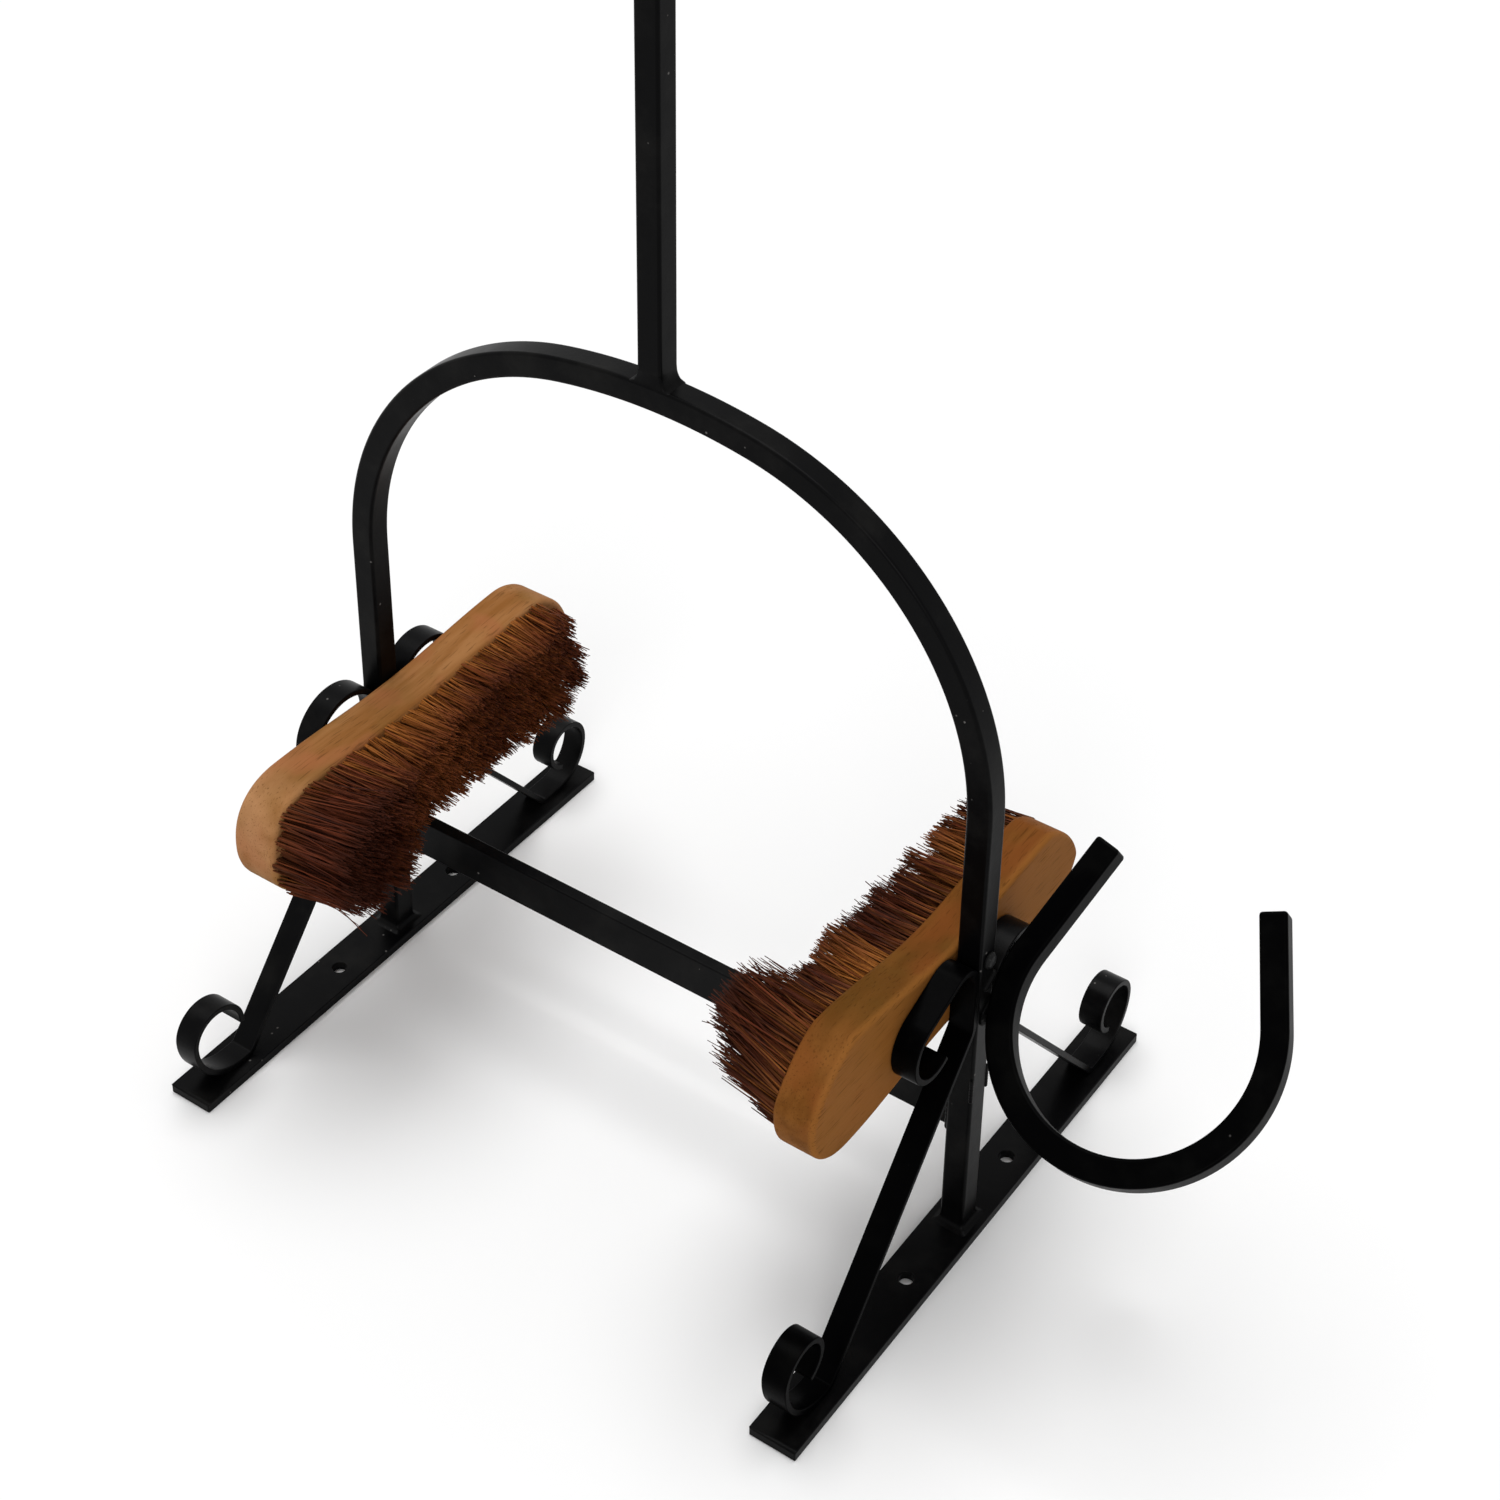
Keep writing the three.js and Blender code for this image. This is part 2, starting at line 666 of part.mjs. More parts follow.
function brushOnLeg(brush) {
  const group = new THREE.Group();
  group.position.set(brush.side * (legInside - SEAT_GAP), brush.shift, brush.height);
  group.rotation.x = -brush.pitch * DEGREE;
  const block = part(`${brush.name}_brush_block`, blockGeometry(brush), wood);
  const bristles = part(`${brush.name}_bristles`, bristleGeometry(brush), coir);
  group.add(standAcross(block, -brush.side), standAcross(bristles, -brush.side));
  return group;
}

function brushScrews(brush) {
  const levels = ['lower', 'upper'];
  return screwHeights(brush).map((height, level) => {
    const name = `${brush.name}_brush_screw_${levels[level]}`;
    const screw = part(name, screwGeometry(), blackScrew);
    screw.rotation.z = (-brush.side * Math.PI) / 2;
    screw.position.set(brush.side * (legOutside + SEAT_GAP), 0, height);
    return screw;
  });
}

// The whole object, moved so that its box is centred over the origin
const bootScraper = new THREE.Group();
bootScraper.add(
  ...feet(),
  archFrame(),
  ...handle(),
  scraperBar(),
  ...braces(),
  bootJack(),
  brushOnLeg(LEFT_BRUSH),
  brushOnLeg(RIGHT_BRUSH),
  ...brushScrews(LEFT_BRUSH),
  ...brushScrews(RIGHT_BRUSH),
);
bootScraper.updateMatrixWorld(true);
const extent = new THREE.Box3().setFromObject(bootScraper, true);
bootScraper.position.x = -(extent.min.x + extent.max.x) / 2;
bootScraper.position.y = -(extent.min.y + extent.max.y) / 2;

export default bootScraper;
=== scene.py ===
"""Boot scraper with scroll braces, facing brushes, a boot jack and a tall T handle.

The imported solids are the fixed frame. The bars are drawn out and bent smooth here, the welds,
the wooden blocks and the tufts of bristle are modelled, and the screws keep their solids.
"""

import logging
import math
from dataclasses import dataclass
from enum import Enum
from typing import Any, Callable, Optional, Sequence, Union

import bmesh
import bpy
import numpy as np
from mathutils import Matrix, Vector


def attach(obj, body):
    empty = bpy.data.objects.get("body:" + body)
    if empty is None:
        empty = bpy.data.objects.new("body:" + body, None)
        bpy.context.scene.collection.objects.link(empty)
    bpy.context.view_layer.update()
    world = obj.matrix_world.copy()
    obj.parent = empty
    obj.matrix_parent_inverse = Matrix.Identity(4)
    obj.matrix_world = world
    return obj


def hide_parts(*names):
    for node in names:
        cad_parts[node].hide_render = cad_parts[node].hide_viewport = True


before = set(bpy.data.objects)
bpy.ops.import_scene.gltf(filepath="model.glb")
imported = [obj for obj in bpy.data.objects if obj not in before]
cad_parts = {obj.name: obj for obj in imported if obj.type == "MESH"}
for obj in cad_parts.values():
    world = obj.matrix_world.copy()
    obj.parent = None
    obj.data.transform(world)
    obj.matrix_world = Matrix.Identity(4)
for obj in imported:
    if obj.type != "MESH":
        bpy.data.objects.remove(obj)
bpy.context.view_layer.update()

LOG = logging.getLogger("boot_scraper")
MM = 0.001
Piece = bpy.types.Object
Material = bpy.types.Material
Numbers = Sequence[float]


# Sizes that several sub-assemblies share, in millimetres

ARCH_MIDDLE = -63.524
BAR_SIDE = 12.5
BAR_CORNER = 1.6
LEG_X = 170.0
FOOT_THICKNESS = 5.0
SEAT_GAP = 0.3
LEG_INSIDE = LEG_X - BAR_SIDE / 2
LEG_OUTSIDE = LEG_X + BAR_SIDE / 2


class Slot(Enum):
    """The record's material slots."""

    PAINT = "black_paint"
    WOOD = "brush_wood"
    BRISTLE = "bristle"
    SCREW = "black_screw"


class Side(Enum):
    """The two legs, with the sense of X on each."""

    LEFT = -1
    RIGHT = 1


class End(Enum):
    """The two ends of a foot, with the sense of Y at each."""

    FRONT = -1
    BACK = 1


# Shader maths


Value = Union[float, "Level"]


@dataclass(frozen=True)
class Level:
    """A socket's value, with arithmetic that adds the nodes for it."""

    book: "NodeBook"
    socket: Optional[bpy.types.NodeSocket]

    def _math(self, operation: str, *values: Value) -> "Level":
        """Adds a Math node for an operation on values."""
        return self.book.node("ShaderNodeMath", {"operation": operation}, dict(enumerate(values)))

    def __add__(self, other: Value) -> "Level":
        """Adds a value, on either side."""
        return self._math("ADD", self, other)

    __radd__ = __add__

    def __sub__(self, other: Value) -> "Level":
        """Takes a value away."""
        return self._math("SUBTRACT", self, other)

    def __rsub__(self, other: float) -> "Level":
        """Takes this from a number."""
        return self._math("SUBTRACT", other, self)

    def __mul__(self, other: Value) -> "Level":
        """Multiplies by a value, on either side."""
        return self._math("MULTIPLY", self, other)

    __rmul__ = __mul__

    def above(self, threshold: float) -> "Level":
        """Gives 1 where the value is over a threshold."""
        return self._math("GREATER_THAN", self, threshold)

    def between(self, low: float, high: float) -> "Level":
        """Runs smoothly from 0 at low to 1 at high."""
        settings = {"interpolation_type": "SMOOTHSTEP"}
        return self.book.node("ShaderNodeMapRange", settings, {0: self, 1: low, 2: high})


Colour = Union[Numbers, Level]


class NodeBook:
    """The node tree of one finish, or of the room's light."""

    def __init__(self, name: str, shelf: str = "materials") -> None:
        """Starts an empty tree.

        Args:
            name: the name of what the tree belongs to.
            shelf: where that is kept: materials or worlds.
        """
        self.owner = getattr(bpy.data, shelf).new(name)
        self.owner.use_nodes = True
        self.tree = self.owner.node_tree
        self.tree.nodes.clear()

    def node(
        self,
        kind: str,
        settings: Optional[dict[str, Any]] = None,
        inputs: Optional[dict[Union[int, str], Any]] = None,
        out: Union[int, str] = 0,
    ) -> Level:
        """Adds a node.

        Args:
            kind: the node's type.
            settings: its own settings.
            inputs: a value or a Level for each socket that isn't left alone.
            out: the output that is wanted.

        Returns:
            The output's value.
        """
        node = self.tree.nodes.new(kind)
        for key, value in (settings or {}).items():
            setattr(node, key, value)
        for key, value in (inputs or {}).items():
            if isinstance(value, Level):
                self.tree.links.new(value.socket, node.inputs[key])
            else:
                node.inputs[key].default_value = value
        return Level(self, node.outputs[out] if len(node.outputs) else None)

    def place(self, stretch: Numbers = (1.0, 1.0, 1.0)) -> Level:
        """Gives the place on the object, drawn out or in along each axis."""
        here = self.node("ShaderNodeTexCoord", out="Object")
        return self.node("ShaderNodeMapping", inputs={"Vector": here, "Scale": stretch})

    def noise(
        self, scale: float, detail: float, rough: float = 0.5, stretch: Numbers = (1.0, 1.0, 1.0)
    ) -> Level:
        """Gives soft noise of a scale in cycles per metre, drawn out or in along each axis."""
        place = self.place(stretch)
        inputs = {"Vector": place, "Scale": scale, "Detail": detail, "Roughness": rough}
        return self.node("ShaderNodeTexNoise", None, inputs)

    def coats(self, base: Colour, *layers: tuple[Value, Colour]) -> Colour:
        """Lays coats over a base colour, each by its own share."""
        for share, coat in layers:
            inputs = {0: share, 6: base, 7: coat}
            base = self.node("ShaderNodeMix", {"data_type": "RGBA"}, inputs, 2)
        return base

    def surface(
        self, colour: Colour, rough: Value, specular: float, relief: tuple = ()
    ) -> Material:
        """Ends the tree with a Principled surface.

        Args:
            colour: its base colour.
            rough: its roughness.
            specular: the strength of its plain reflections.
            relief: the height, strength and depth of its bumps, if any.

        Returns:
            The finished material.
        """
        inputs = {"Base Color": colour, "Roughness": rough, "Specular IOR Level": specular}
        if relief:
            bumps = dict(zip(("Height", "Strength", "Distance"), relief))
            inputs["Normal"] = self.node("ShaderNodeBump", None, bumps)
        shader = self.node("ShaderNodeBsdfPrincipled", None, inputs)
        self.node("ShaderNodeOutputMaterial", None, {"Surface": shader})
        return self.owner


@dataclass(frozen=True)
class GlossPaint:
    """Brushed-on gloss black over forge-scaled bar, with a few specks of dust."""

    name: str = "gloss_black_paint"
    black: tuple = (0.0016, 0.0016, 0.0018, 1)
    worn: tuple = (0.0065, 0.0063, 0.006, 1)
    dust: tuple = (0.22, 0.21, 0.2, 1)
    specular: float = 0.04
    dustiness: float = 0.55

    def mix_finish(self) -> Material:
        """Builds the material."""
        book = NodeBook(self.name)
        cloud = book.noise(38.0, 4.0, 0.6)
        streak = book.noise(260.0, 2.0, stretch=(1.0, 1.0, 0.15))
        peel = book.noise(620.0, 2.0, 0.45)
        hammer = book.noise(85.0, 1.0, 0.3)
        grains = book.node("ShaderNodeTexVoronoi", None, {"Vector": book.place(), "Scale": 150.0})
        lucky = book.noise(47.0, 0.0).above(0.66)
        speck = (1.0 - grains.between(0.05, 0.11)) * lucky
        wear = (cloud.between(0.45, 0.75), self.worn)
        colour = book.coats(self.black, wear, (speck * self.dustiness, self.dust))
        rough = 0.2 + cloud * 0.16 + streak * 0.08 + speck * 0.3
        relief = peel * 0.35 + hammer * 1.6 + speck * 0.6
        return book.surface(colour, rough, self.specular, (relief, 0.22, 0.0004))


# Painted shade: a darker, duller copy of the gloss paint for the bars that sit in shade, the boot
# jack and the front right brace.
SHADE_DARKENED_PAINT = GlossPaint(
    name="shade_darkened_black_paint",
    black=(0.0004, 0.0004, 0.0005, 1),
    worn=(0.002, 0.002, 0.0019, 1),
    specular=0.012,
    dustiness=0.2,
)


@dataclass(frozen=True)
class SandedWood:
    """Sanded hardwood with its grain along the brush, oiled unevenly by use.

    The lower part of each end is darkened with olive as painted shade, and the back face against
    the leg is lightened by a share as painted light. Each reach gives the places on the object, in
    metres, where a tint starts and where it is full.
    """

    name: str = "pale_brush_wood"
    pale: tuple = (0.38, 0.175, 0.062, 1)
    mid: tuple = (0.25, 0.098, 0.024, 1)
    rose: tuple = (0.36, 0.13, 0.05, 1)
    olive: tuple = (0.15, 0.088, 0.018, 1)
    pore: tuple = (0.09, 0.036, 0.011, 1)
    blush: tuple = (0.62, 0.33, 0.165, 1)
    blushing: float = 0.6
    # Painted light: the share and the colour that lighten the back face against the leg
    painted_back_light: float = 0.0
    painted_back_lighted: tuple = (0.33, 0.13, 0.028, 1)
    ends_reach: tuple = (0.055, 0.105)
    # Painted shade: the heights where the darkening low on the ends starts and where it is full
    low_end_shade_reach: tuple = (0.142, 0.108)
    # Painted light: where the lightening of the back face starts and where it is full, across the
    # block
    back_reach: tuple = (0.0955, 0.0995)

    def mix_finish(self) -> Material:
        """Builds the material."""
        book = NodeBook(self.name)
        here = book.place()
        x, y, z = (book.node("ShaderNodeSeparateXYZ", None, {0: here}, axis) for axis in range(3))
        ends = (y * y).between(*(reach**2 for reach in self.ends_reach))
        # Painted shade: the ends darken towards the bottom.
        low_end_shade = z.between(*self.low_end_shade_reach) * ends
        back = x.between(*self.back_reach)
        blotch = book.noise(30.0, 3.0, stretch=(1.0, 0.7, 1.0)).between(0.3, 0.7)
        ring = book.noise(120.0, 3.0, 0.55, (1.0, 0.07, 1.0)).between(0.32, 0.68)
        fibre = book.noise(900.0, 2.0, 0.6, (1.0, 0.07, 1.0))
        pores = book.noise(1500.0, 1.0, stretch=(1.0, 0.045, 1.0)).between(0.6, 0.72)
        patch = book.noise(24.0, 3.0, stretch=(1.0, 0.6, 1.0)).between(0.48, 0.66)
        warm = book.noise(41.0, 2.0, stretch=(1.0, 0.8, 1.0)).between(0.48, 0.66)
        colour = book.coats(
            self.pale,
            (ring, self.mid),
            (warm * 0.8, self.rose),
            (patch * (0.7 - ends * 0.4), self.olive),
            # painted light on the back face
            (back * self.painted_back_light, self.painted_back_lighted),
            (ends * blotch * self.blushing, self.blush),
            # painted shade low on the ends
            (low_end_shade * 0.85, self.olive),
            (fibre * 0.22, self.mid),
            (pores * 0.45, self.pore),
        )
        rough = 0.55 + fibre * 0.16 + pores * 0.15
        return book.surface(colour, rough, 0.03, (fibre - pores * 0.8, 0.3, 0.0003))


BROWN_WOOD = SandedWood(
    name="brown_brush_wood",
    pale=(0.215, 0.08, 0.0155, 1),
    mid=(0.135, 0.046, 0.007, 1),
    rose=(0.205, 0.061, 0.0125, 1),
    olive=(0.113, 0.052, 0.008, 1),
    pore=(0.06, 0.022, 0.004, 1),
    blush=(0.29, 0.115, 0.03, 1),
    blushing=0.45,
    # painted light on the back face against the leg
    painted_back_light=0.7,
)


@dataclass(frozen=True)
class BristleFibre:
    """Stiff brown plant fibre, lighter and more orange near the block."""

    name: str = "brown_bristle_fibre"
    dark: tuple = (0.034, 0.0085, 0.0042, 1)
    red: tuple = (0.165, 0.037, 0.0135, 1)
    straw: tuple = (0.36, 0.125, 0.022, 1)

    def mix_finish(self) -> Material:
        """Builds the material."""
        book = NodeBook(self.name)
        tone, along, gold = (
            book.node("ShaderNodeAttribute", {"attribute_name": key}, out="Fac")
            for key in ("tone", "along", "gold")
        )
        mottle = book.noise(420.0, 2.0, 0.6)
        colour = book.coats(
            self.dark,
            (tone, self.red),
            (gold * (1.0 - along * 0.75), self.straw),
            (along.between(0.45, 0.0) * (0.1 + gold * 0.45), self.straw),
            (along.between(0.72, 1.0) * (0.7 - gold * 0.65), self.dark),
            (mottle.between(0.5, 0.7) * 0.3, self.dark),
        )
        return book.surface(colour, 0.55 + mottle * 0.2, 0.08, (mottle, 0.2, 0.0002))


@dataclass(frozen=True)
class ScrewSteel:
    """Black screw heads, rubbed a little on the rim."""

    name: str = "black_screw_steel"
    black: tuple = (0.004, 0.004, 0.004, 1)
    rubbed: tuple = (0.03, 0.029, 0.028, 1)

    def mix_finish(self) -> Material:
        """Builds the material."""
        book = NodeBook(self.name)
        wear = book.noise(700.0, 3.0, 0.6).between(0.56, 0.7)
        return book.surface(book.coats(self.black, (wear, self.rubbed)), 0.36 + wear * 0.15, 0.12)


# Modelling


class Bench:
    """The tools that every piece is modelled with."""

    @staticmethod
    def take(piece: Piece) -> None:
        """Makes one piece the only one selected."""
        bpy.ops.object.select_all(action="DESELECT")
        piece.select_set(True)
        bpy.context.view_layer.objects.active = piece

    @staticmethod
    def add(operator: Callable, name: str, **sizes: Any) -> Piece:
        """Adds a primitive.

        Args:
            operator: the operator that adds it.
            name: the new piece's name.
            **sizes: its sizes and place, for the operator.

        Returns:
            The piece, selected, with its place in its mesh.
        """
        operator(**sizes)
        piece = bpy.context.object
        piece.name = name
        piece.data.name = name
        bpy.ops.object.transform_apply(location=True, rotation=True, scale=True)
        return piece

    @staticmethod
    def edit(piece: Piece) -> None:
        """Opens a piece for editing, with everything selected."""
        Bench.take(piece)
        bpy.ops.object.mode_set(mode="EDIT")
        bpy.ops.mesh.select_all(action="SELECT")

    @staticmethod
    def pick(piece: Piece, test: Callable[[Any], bool], kind: str = "verts") -> None:
        """Selects what passes a test in edit mode.

        Args:
            piece: the piece that is open for editing.
            test: says which vertices or edges are wanted.
            kind: verts or edges.
        """
        bpy.ops.mesh.select_mode(type={"verts": "VERT", "edges": "EDGE"}[kind])
        bpy.ops.mesh.select_all(action="DESELECT")
        work = bmesh.from_edit_mesh(piece.data)
        for element in getattr(work, kind):
            if test(element):
                element.select_set(True)
        work.select_flush_mode()
        bmesh.update_edit_mesh(piece.data)

    @staticmethod
    def close(piece: Piece) -> None:
        """Merges doubles, turns the faces outwards and leaves edit mode."""
        bpy.ops.mesh.select_all(action="SELECT")
        bpy.ops.mesh.remove_doubles(threshold=0.00001)
        bpy.ops.mesh.normals_make_consistent(inside=False)
        bpy.ops.object.mode_set(mode="OBJECT")

    @staticmethod
    def modify(piece: Piece, kind: str, **settings: Any) -> None:
        """Adds a modifier and applies it."""
        Bench.take(piece)
        modifier = piece.modifiers.new(kind.lower(), kind)
        for key, value in settings.items():
            setattr(modifier, key, value)
        bpy.ops.object.modifier_apply(modifier=modifier.name)

    @staticmethod
    def round_edges(piece: Piece, width: float, segments: int = 3, degrees: float = 40) -> None:
        """Rounds every edge sharper than an angle, and smooths what is left.

        Args:
            piece: the piece.
            width: the radius in millimetres.
            segments: steps around the rounding.
            degrees: the angle.
        """
        Bench.smooth(piece)
        sizes = {"width": width * MM, "segments": segments, "angle_limit": math.radians(degrees)}
        Bench.modify(piece, "BEVEL", limit_method="ANGLE", harden_normals=True, **sizes)

    @staticmethod
    def smooth(piece: Piece, degrees: float = 40) -> None:
        """Shades a piece smooth up to an angle."""
        Bench.take(piece)
        bpy.ops.object.shade_smooth_by_angle(angle=math.radians(degrees))

    @staticmethod
    def cut(piece: Piece, tool: Piece) -> None:
        """Cuts a tool's shape out of a piece and throws the tool away."""
        Bench.modify(piece, "BOOLEAN", object=tool, operation="DIFFERENCE", solver="EXACT")
        bpy.data.objects.remove(tool)

    @staticmethod
    def join(pieces: Sequence[Piece], name: str) -> Piece:
        """Joins pieces into one."""
        Bench.take(pieces[0])
        for piece in pieces:
            piece.select_set(True)
        bpy.ops.object.join()
        joined = bpy.context.object
        joined.name = name
        joined.data.name = name
        return joined


class Dresser:
    """Hands each finished piece over to the frame."""

    def __init__(self) -> None:
        """Makes the finish of each slot, and those of single pieces."""
        self.finishes = {
            Slot.PAINT: GlossPaint().mix_finish(),
            Slot.WOOD: SandedWood().mix_finish(),
            Slot.BRISTLE: BristleFibre().mix_finish(),
            Slot.SCREW: ScrewSteel().mix_finish(),
        }
        # The darker copy of the paint is painted shade, for the bars in shade.
        self.shade_darkened_paint = SHADE_DARKENED_PAINT.mix_finish()
        self.brown_wood = BROWN_WOOD.mix_finish()

    def hand_over(
        self,
        piece: Piece,
        node: Optional[str] = None,
        slot: Slot = Slot.PAINT,
        finish: Optional[Material] = None,
    ) -> None:
        """Finishes a piece and fixes it to the object.

        Args:
            piece: the piece, in place.
            node: the CAD node that it stands for, if any.
            slot: its material slot.
            finish: its own finish, where it isn't the slot's.
        """
        piece.data.materials.clear()
        piece.data.materials.append(finish or self.finishes[slot])
        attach(piece, "root")
        if node is not None:
            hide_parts(node)
        LOG.info("%s: %d faces, %s", piece.name, len(piece.data.polygons), slot.value)

    def repaint(self, node: str, slot: Slot) -> None:
        """Gives a CAD node its finish."""
        for material_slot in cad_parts[node].material_slots:
            material_slot.material = self.finishes[slot]
        LOG.info("%s: CAD solid, %s", node, slot.value)


class BarBender:
    """Draws a bar out flat in X and Y from its section, straight by straight and bend by bend."""

    def __init__(
        self, name: str, thickness: float, depth: float, x: float, y: float, heading: float
    ) -> None:
        """Lays down the section where the bar starts.

        Args:
            name: the bar's name.
            thickness: its size in the plane of the bends, in millimetres.
            depth: its size across that plane.
            x: where its middle line starts.
            y: where its middle line starts.
            heading: the direction it starts in, in degrees from X.
        """
        self.x, self.y = x * MM, y * MM
        self.heading = math.radians(heading)
        stand = {"location": (self.x, self.y, 0), "rotation": (0, math.pi / 2, self.heading)}
        self.piece = Bench.add(bpy.ops.mesh.primitive_plane_add, name, size=1, **stand)
        here = Matrix.Translation((self.x, self.y, 0)) @ turned(heading, "Z")
        size = Matrix.Diagonal((1, thickness * MM, depth * MM, 1))
        self.piece.data.transform(here @ size @ here.inverted())
        Bench.edit(self.piece)

    def straight(self, length: float) -> "BarBender":
        """Draws the bar on for a length in millimetres."""
        step = (length * MM * math.cos(self.heading), length * MM * math.sin(self.heading), 0)
        bpy.ops.mesh.extrude_region_move(TRANSFORM_OT_translate={"value": step})
        self.x += step[0]
        self.y += step[1]
        return self

    def bend(self, radius: float, degrees: float, step: float = 3.0) -> "BarBender":
        """Bends the bar.

        Args:
            radius: the radius of its middle line in millimetres.
            degrees: how far it turns, to the left if positive.
            step: the angle of one facet.

        Returns:
            This bar.
        """
        turn = math.copysign(radius * MM, degrees)
        centre_x = self.x - turn * math.sin(self.heading)
        centre_y = self.y + turn * math.cos(self.heading)
        steps = max(2, math.ceil(abs(degrees) / step))
        angle, centre = math.radians(degrees), (centre_x, centre_y, 0)
        bpy.ops.mesh.spin(steps=steps, angle=-angle, center=centre, axis=(0, 0, 1))
        self.heading += angle
        self.x = centre_x + turn * math.sin(self.heading)
        self.y = centre_y - turn * math.cos(self.heading)
        return self

    def finish(self, corner: float, where: Matrix) -> Piece:
        """Rounds the corners and puts the bar in its place.

        Args:
            corner: the corner radius in millimetres.
            where: its place on the object, in metres.

        Returns:
            The finished bar.
        """
        Bench.close(self.piece)
        Bench.round_edges(self.piece, corner)
        self.piece.data.transform(where)
        return self.piece


def at(x: float, y: float, z: float) -> Matrix:
    """Gives a place in millimetres, with X from the middle of the arch."""
    return Matrix.Translation(((x + ARCH_MIDDLE) * MM, y * MM, z * MM))


def turned(degrees: float, axis: str) -> Matrix:
    """Gives a turn about an axis."""
    return Matrix.Rotation(math.radians(degrees), 4, axis)


def upright() -> Matrix:
    """Stands a flat drawing up across the arch."""
    return turned(90, "X")


def across(sense: int) -> Matrix:
    """Stands a flat drawing up along the feet, with its X along sense times Y."""
    return upright() @ turned(sense * 90, "Y")


# Sub-assemblies


@dataclass
class Arch:
    """The square bar bent to legs, shoulders and crown, with the T handle on it."""

    leg_straight: float = 239.6
    shoulder_radius: float = 146.0
    shoulder_angle: float = 79.5
    handle_top: float = 900.0
    crossbar_length: float = 150.0

    def crown_radius(self) -> float:
        """Gives the crown's radius, which closes the arch on the middle plane."""
        angle = math.radians(self.shoulder_angle)
        return self.shoulder_radius + (LEG_X - self.shoulder_radius) / math.cos(angle)

    def crown_top(self) -> float:
        """Gives the height of the crown's upper face."""
        angle = math.radians(self.shoulder_angle)
        rise = self.shoulder_radius * math.sin(angle)
        crown = self.crown_radius() * (1 - math.sin(angle))
        return FOOT_THICKNESS + self.leg_straight + rise + crown + BAR_SIDE / 2

    def build(self, dresser: Dresser) -> None:
        """Bends the arch and puts the handle on it."""
        stand = at(0, 0, 0) @ upright()
        bar = BarBender("arch_bar", BAR_SIDE, BAR_SIDE, LEG_X, FOOT_THICKNESS, 90)
        bar.straight(self.leg_straight).bend(self.shoulder_radius, self.shoulder_angle, 1.5)
        bar.bend(self.crown_radius(), 180 - 2 * self.shoulder_angle, 0.75)
        bar.bend(self.shoulder_radius, self.shoulder_angle, 1.5).straight(self.leg_straight)
        dresser.hand_over(bar.finish(BAR_CORNER, stand), "arch_frame")

        foot = self.crown_top()
        stem = BarBender("handle_stem_bar", BAR_SIDE, BAR_SIDE, 0, foot, 90)
        stem.straight(self.handle_top - BAR_SIDE - foot)
        dresser.hand_over(stem.finish(BAR_CORNER, stand), "handle_stem")

        grip = BarBender("handle_cross_bar", BAR_SIDE, BAR_SIDE, -self.crossbar_length / 2, 0, 0)
        grip.straight(self.crossbar_length)
        place = at(0, 0, self.handle_top - BAR_SIDE / 2)
        dresser.hand_over(grip.finish(BAR_CORNER, place), "handle_crossbar")


@dataclass
class Foot:
    """A flat bar on the ground, with its two fixing holes."""

    side: Side
    length: float = 300.0
    width: float = 24.0
    hole: float = 7.0
    pitch: float = 88.0
    edge: float = 0.6

    def build(self, dresser: Dresser) -> None:
        """Cuts the bar to length, drills it and rounds its edges."""
        name = self.side.name.lower() + "_foot"
        x = self.side.value * LEG_X
        plate = BarBender(name + "_plate", FOOT_THICKNESS, self.width, 0, 0, 0)
        plate.straight(self.length)
        Bench.close(plate.piece)
        lie = at(x, -self.length / 2, FOOT_THICKNESS / 2) @ across(1)
        plate.piece.data.transform(lie)
        drill = bpy.ops.mesh.primitive_cylinder_add
        sizes = {"vertices": 32, "radius": self.hole / 2 * MM, "depth": 4 * FOOT_THICKNESS * MM}
        for end in End:
            place = at(x, end.value * self.pitch / 2, 0).translation
            Bench.cut(plate.piece, Bench.add(drill, "drill", location=place, **sizes))
        Bench.round_edges(plate.piece, self.edge, 2)
        dresser.hand_over(plate.piece, name)


@dataclass
class Scraper:
    """The flat bar on edge between the legs that takes the mud off the soles."""

    height: float = 22.0
    thickness: float = 6.5
    underside: float = 63.0
    corner: float = 0.8

    def build(self, dresser: Dresser) -> None:
        """Sets the bar between the legs."""
        middle = self.underside + self.height / 2
        bar = BarBender("scraper_flat_bar", self.height, self.thickness, -LEG_INSIDE, middle, 0)
        bar.straight(2 * LEG_INSIDE)
        dresser.hand_over(bar.finish(self.corner, at(0, 0, 0) @ upright()), "scraper_bar")


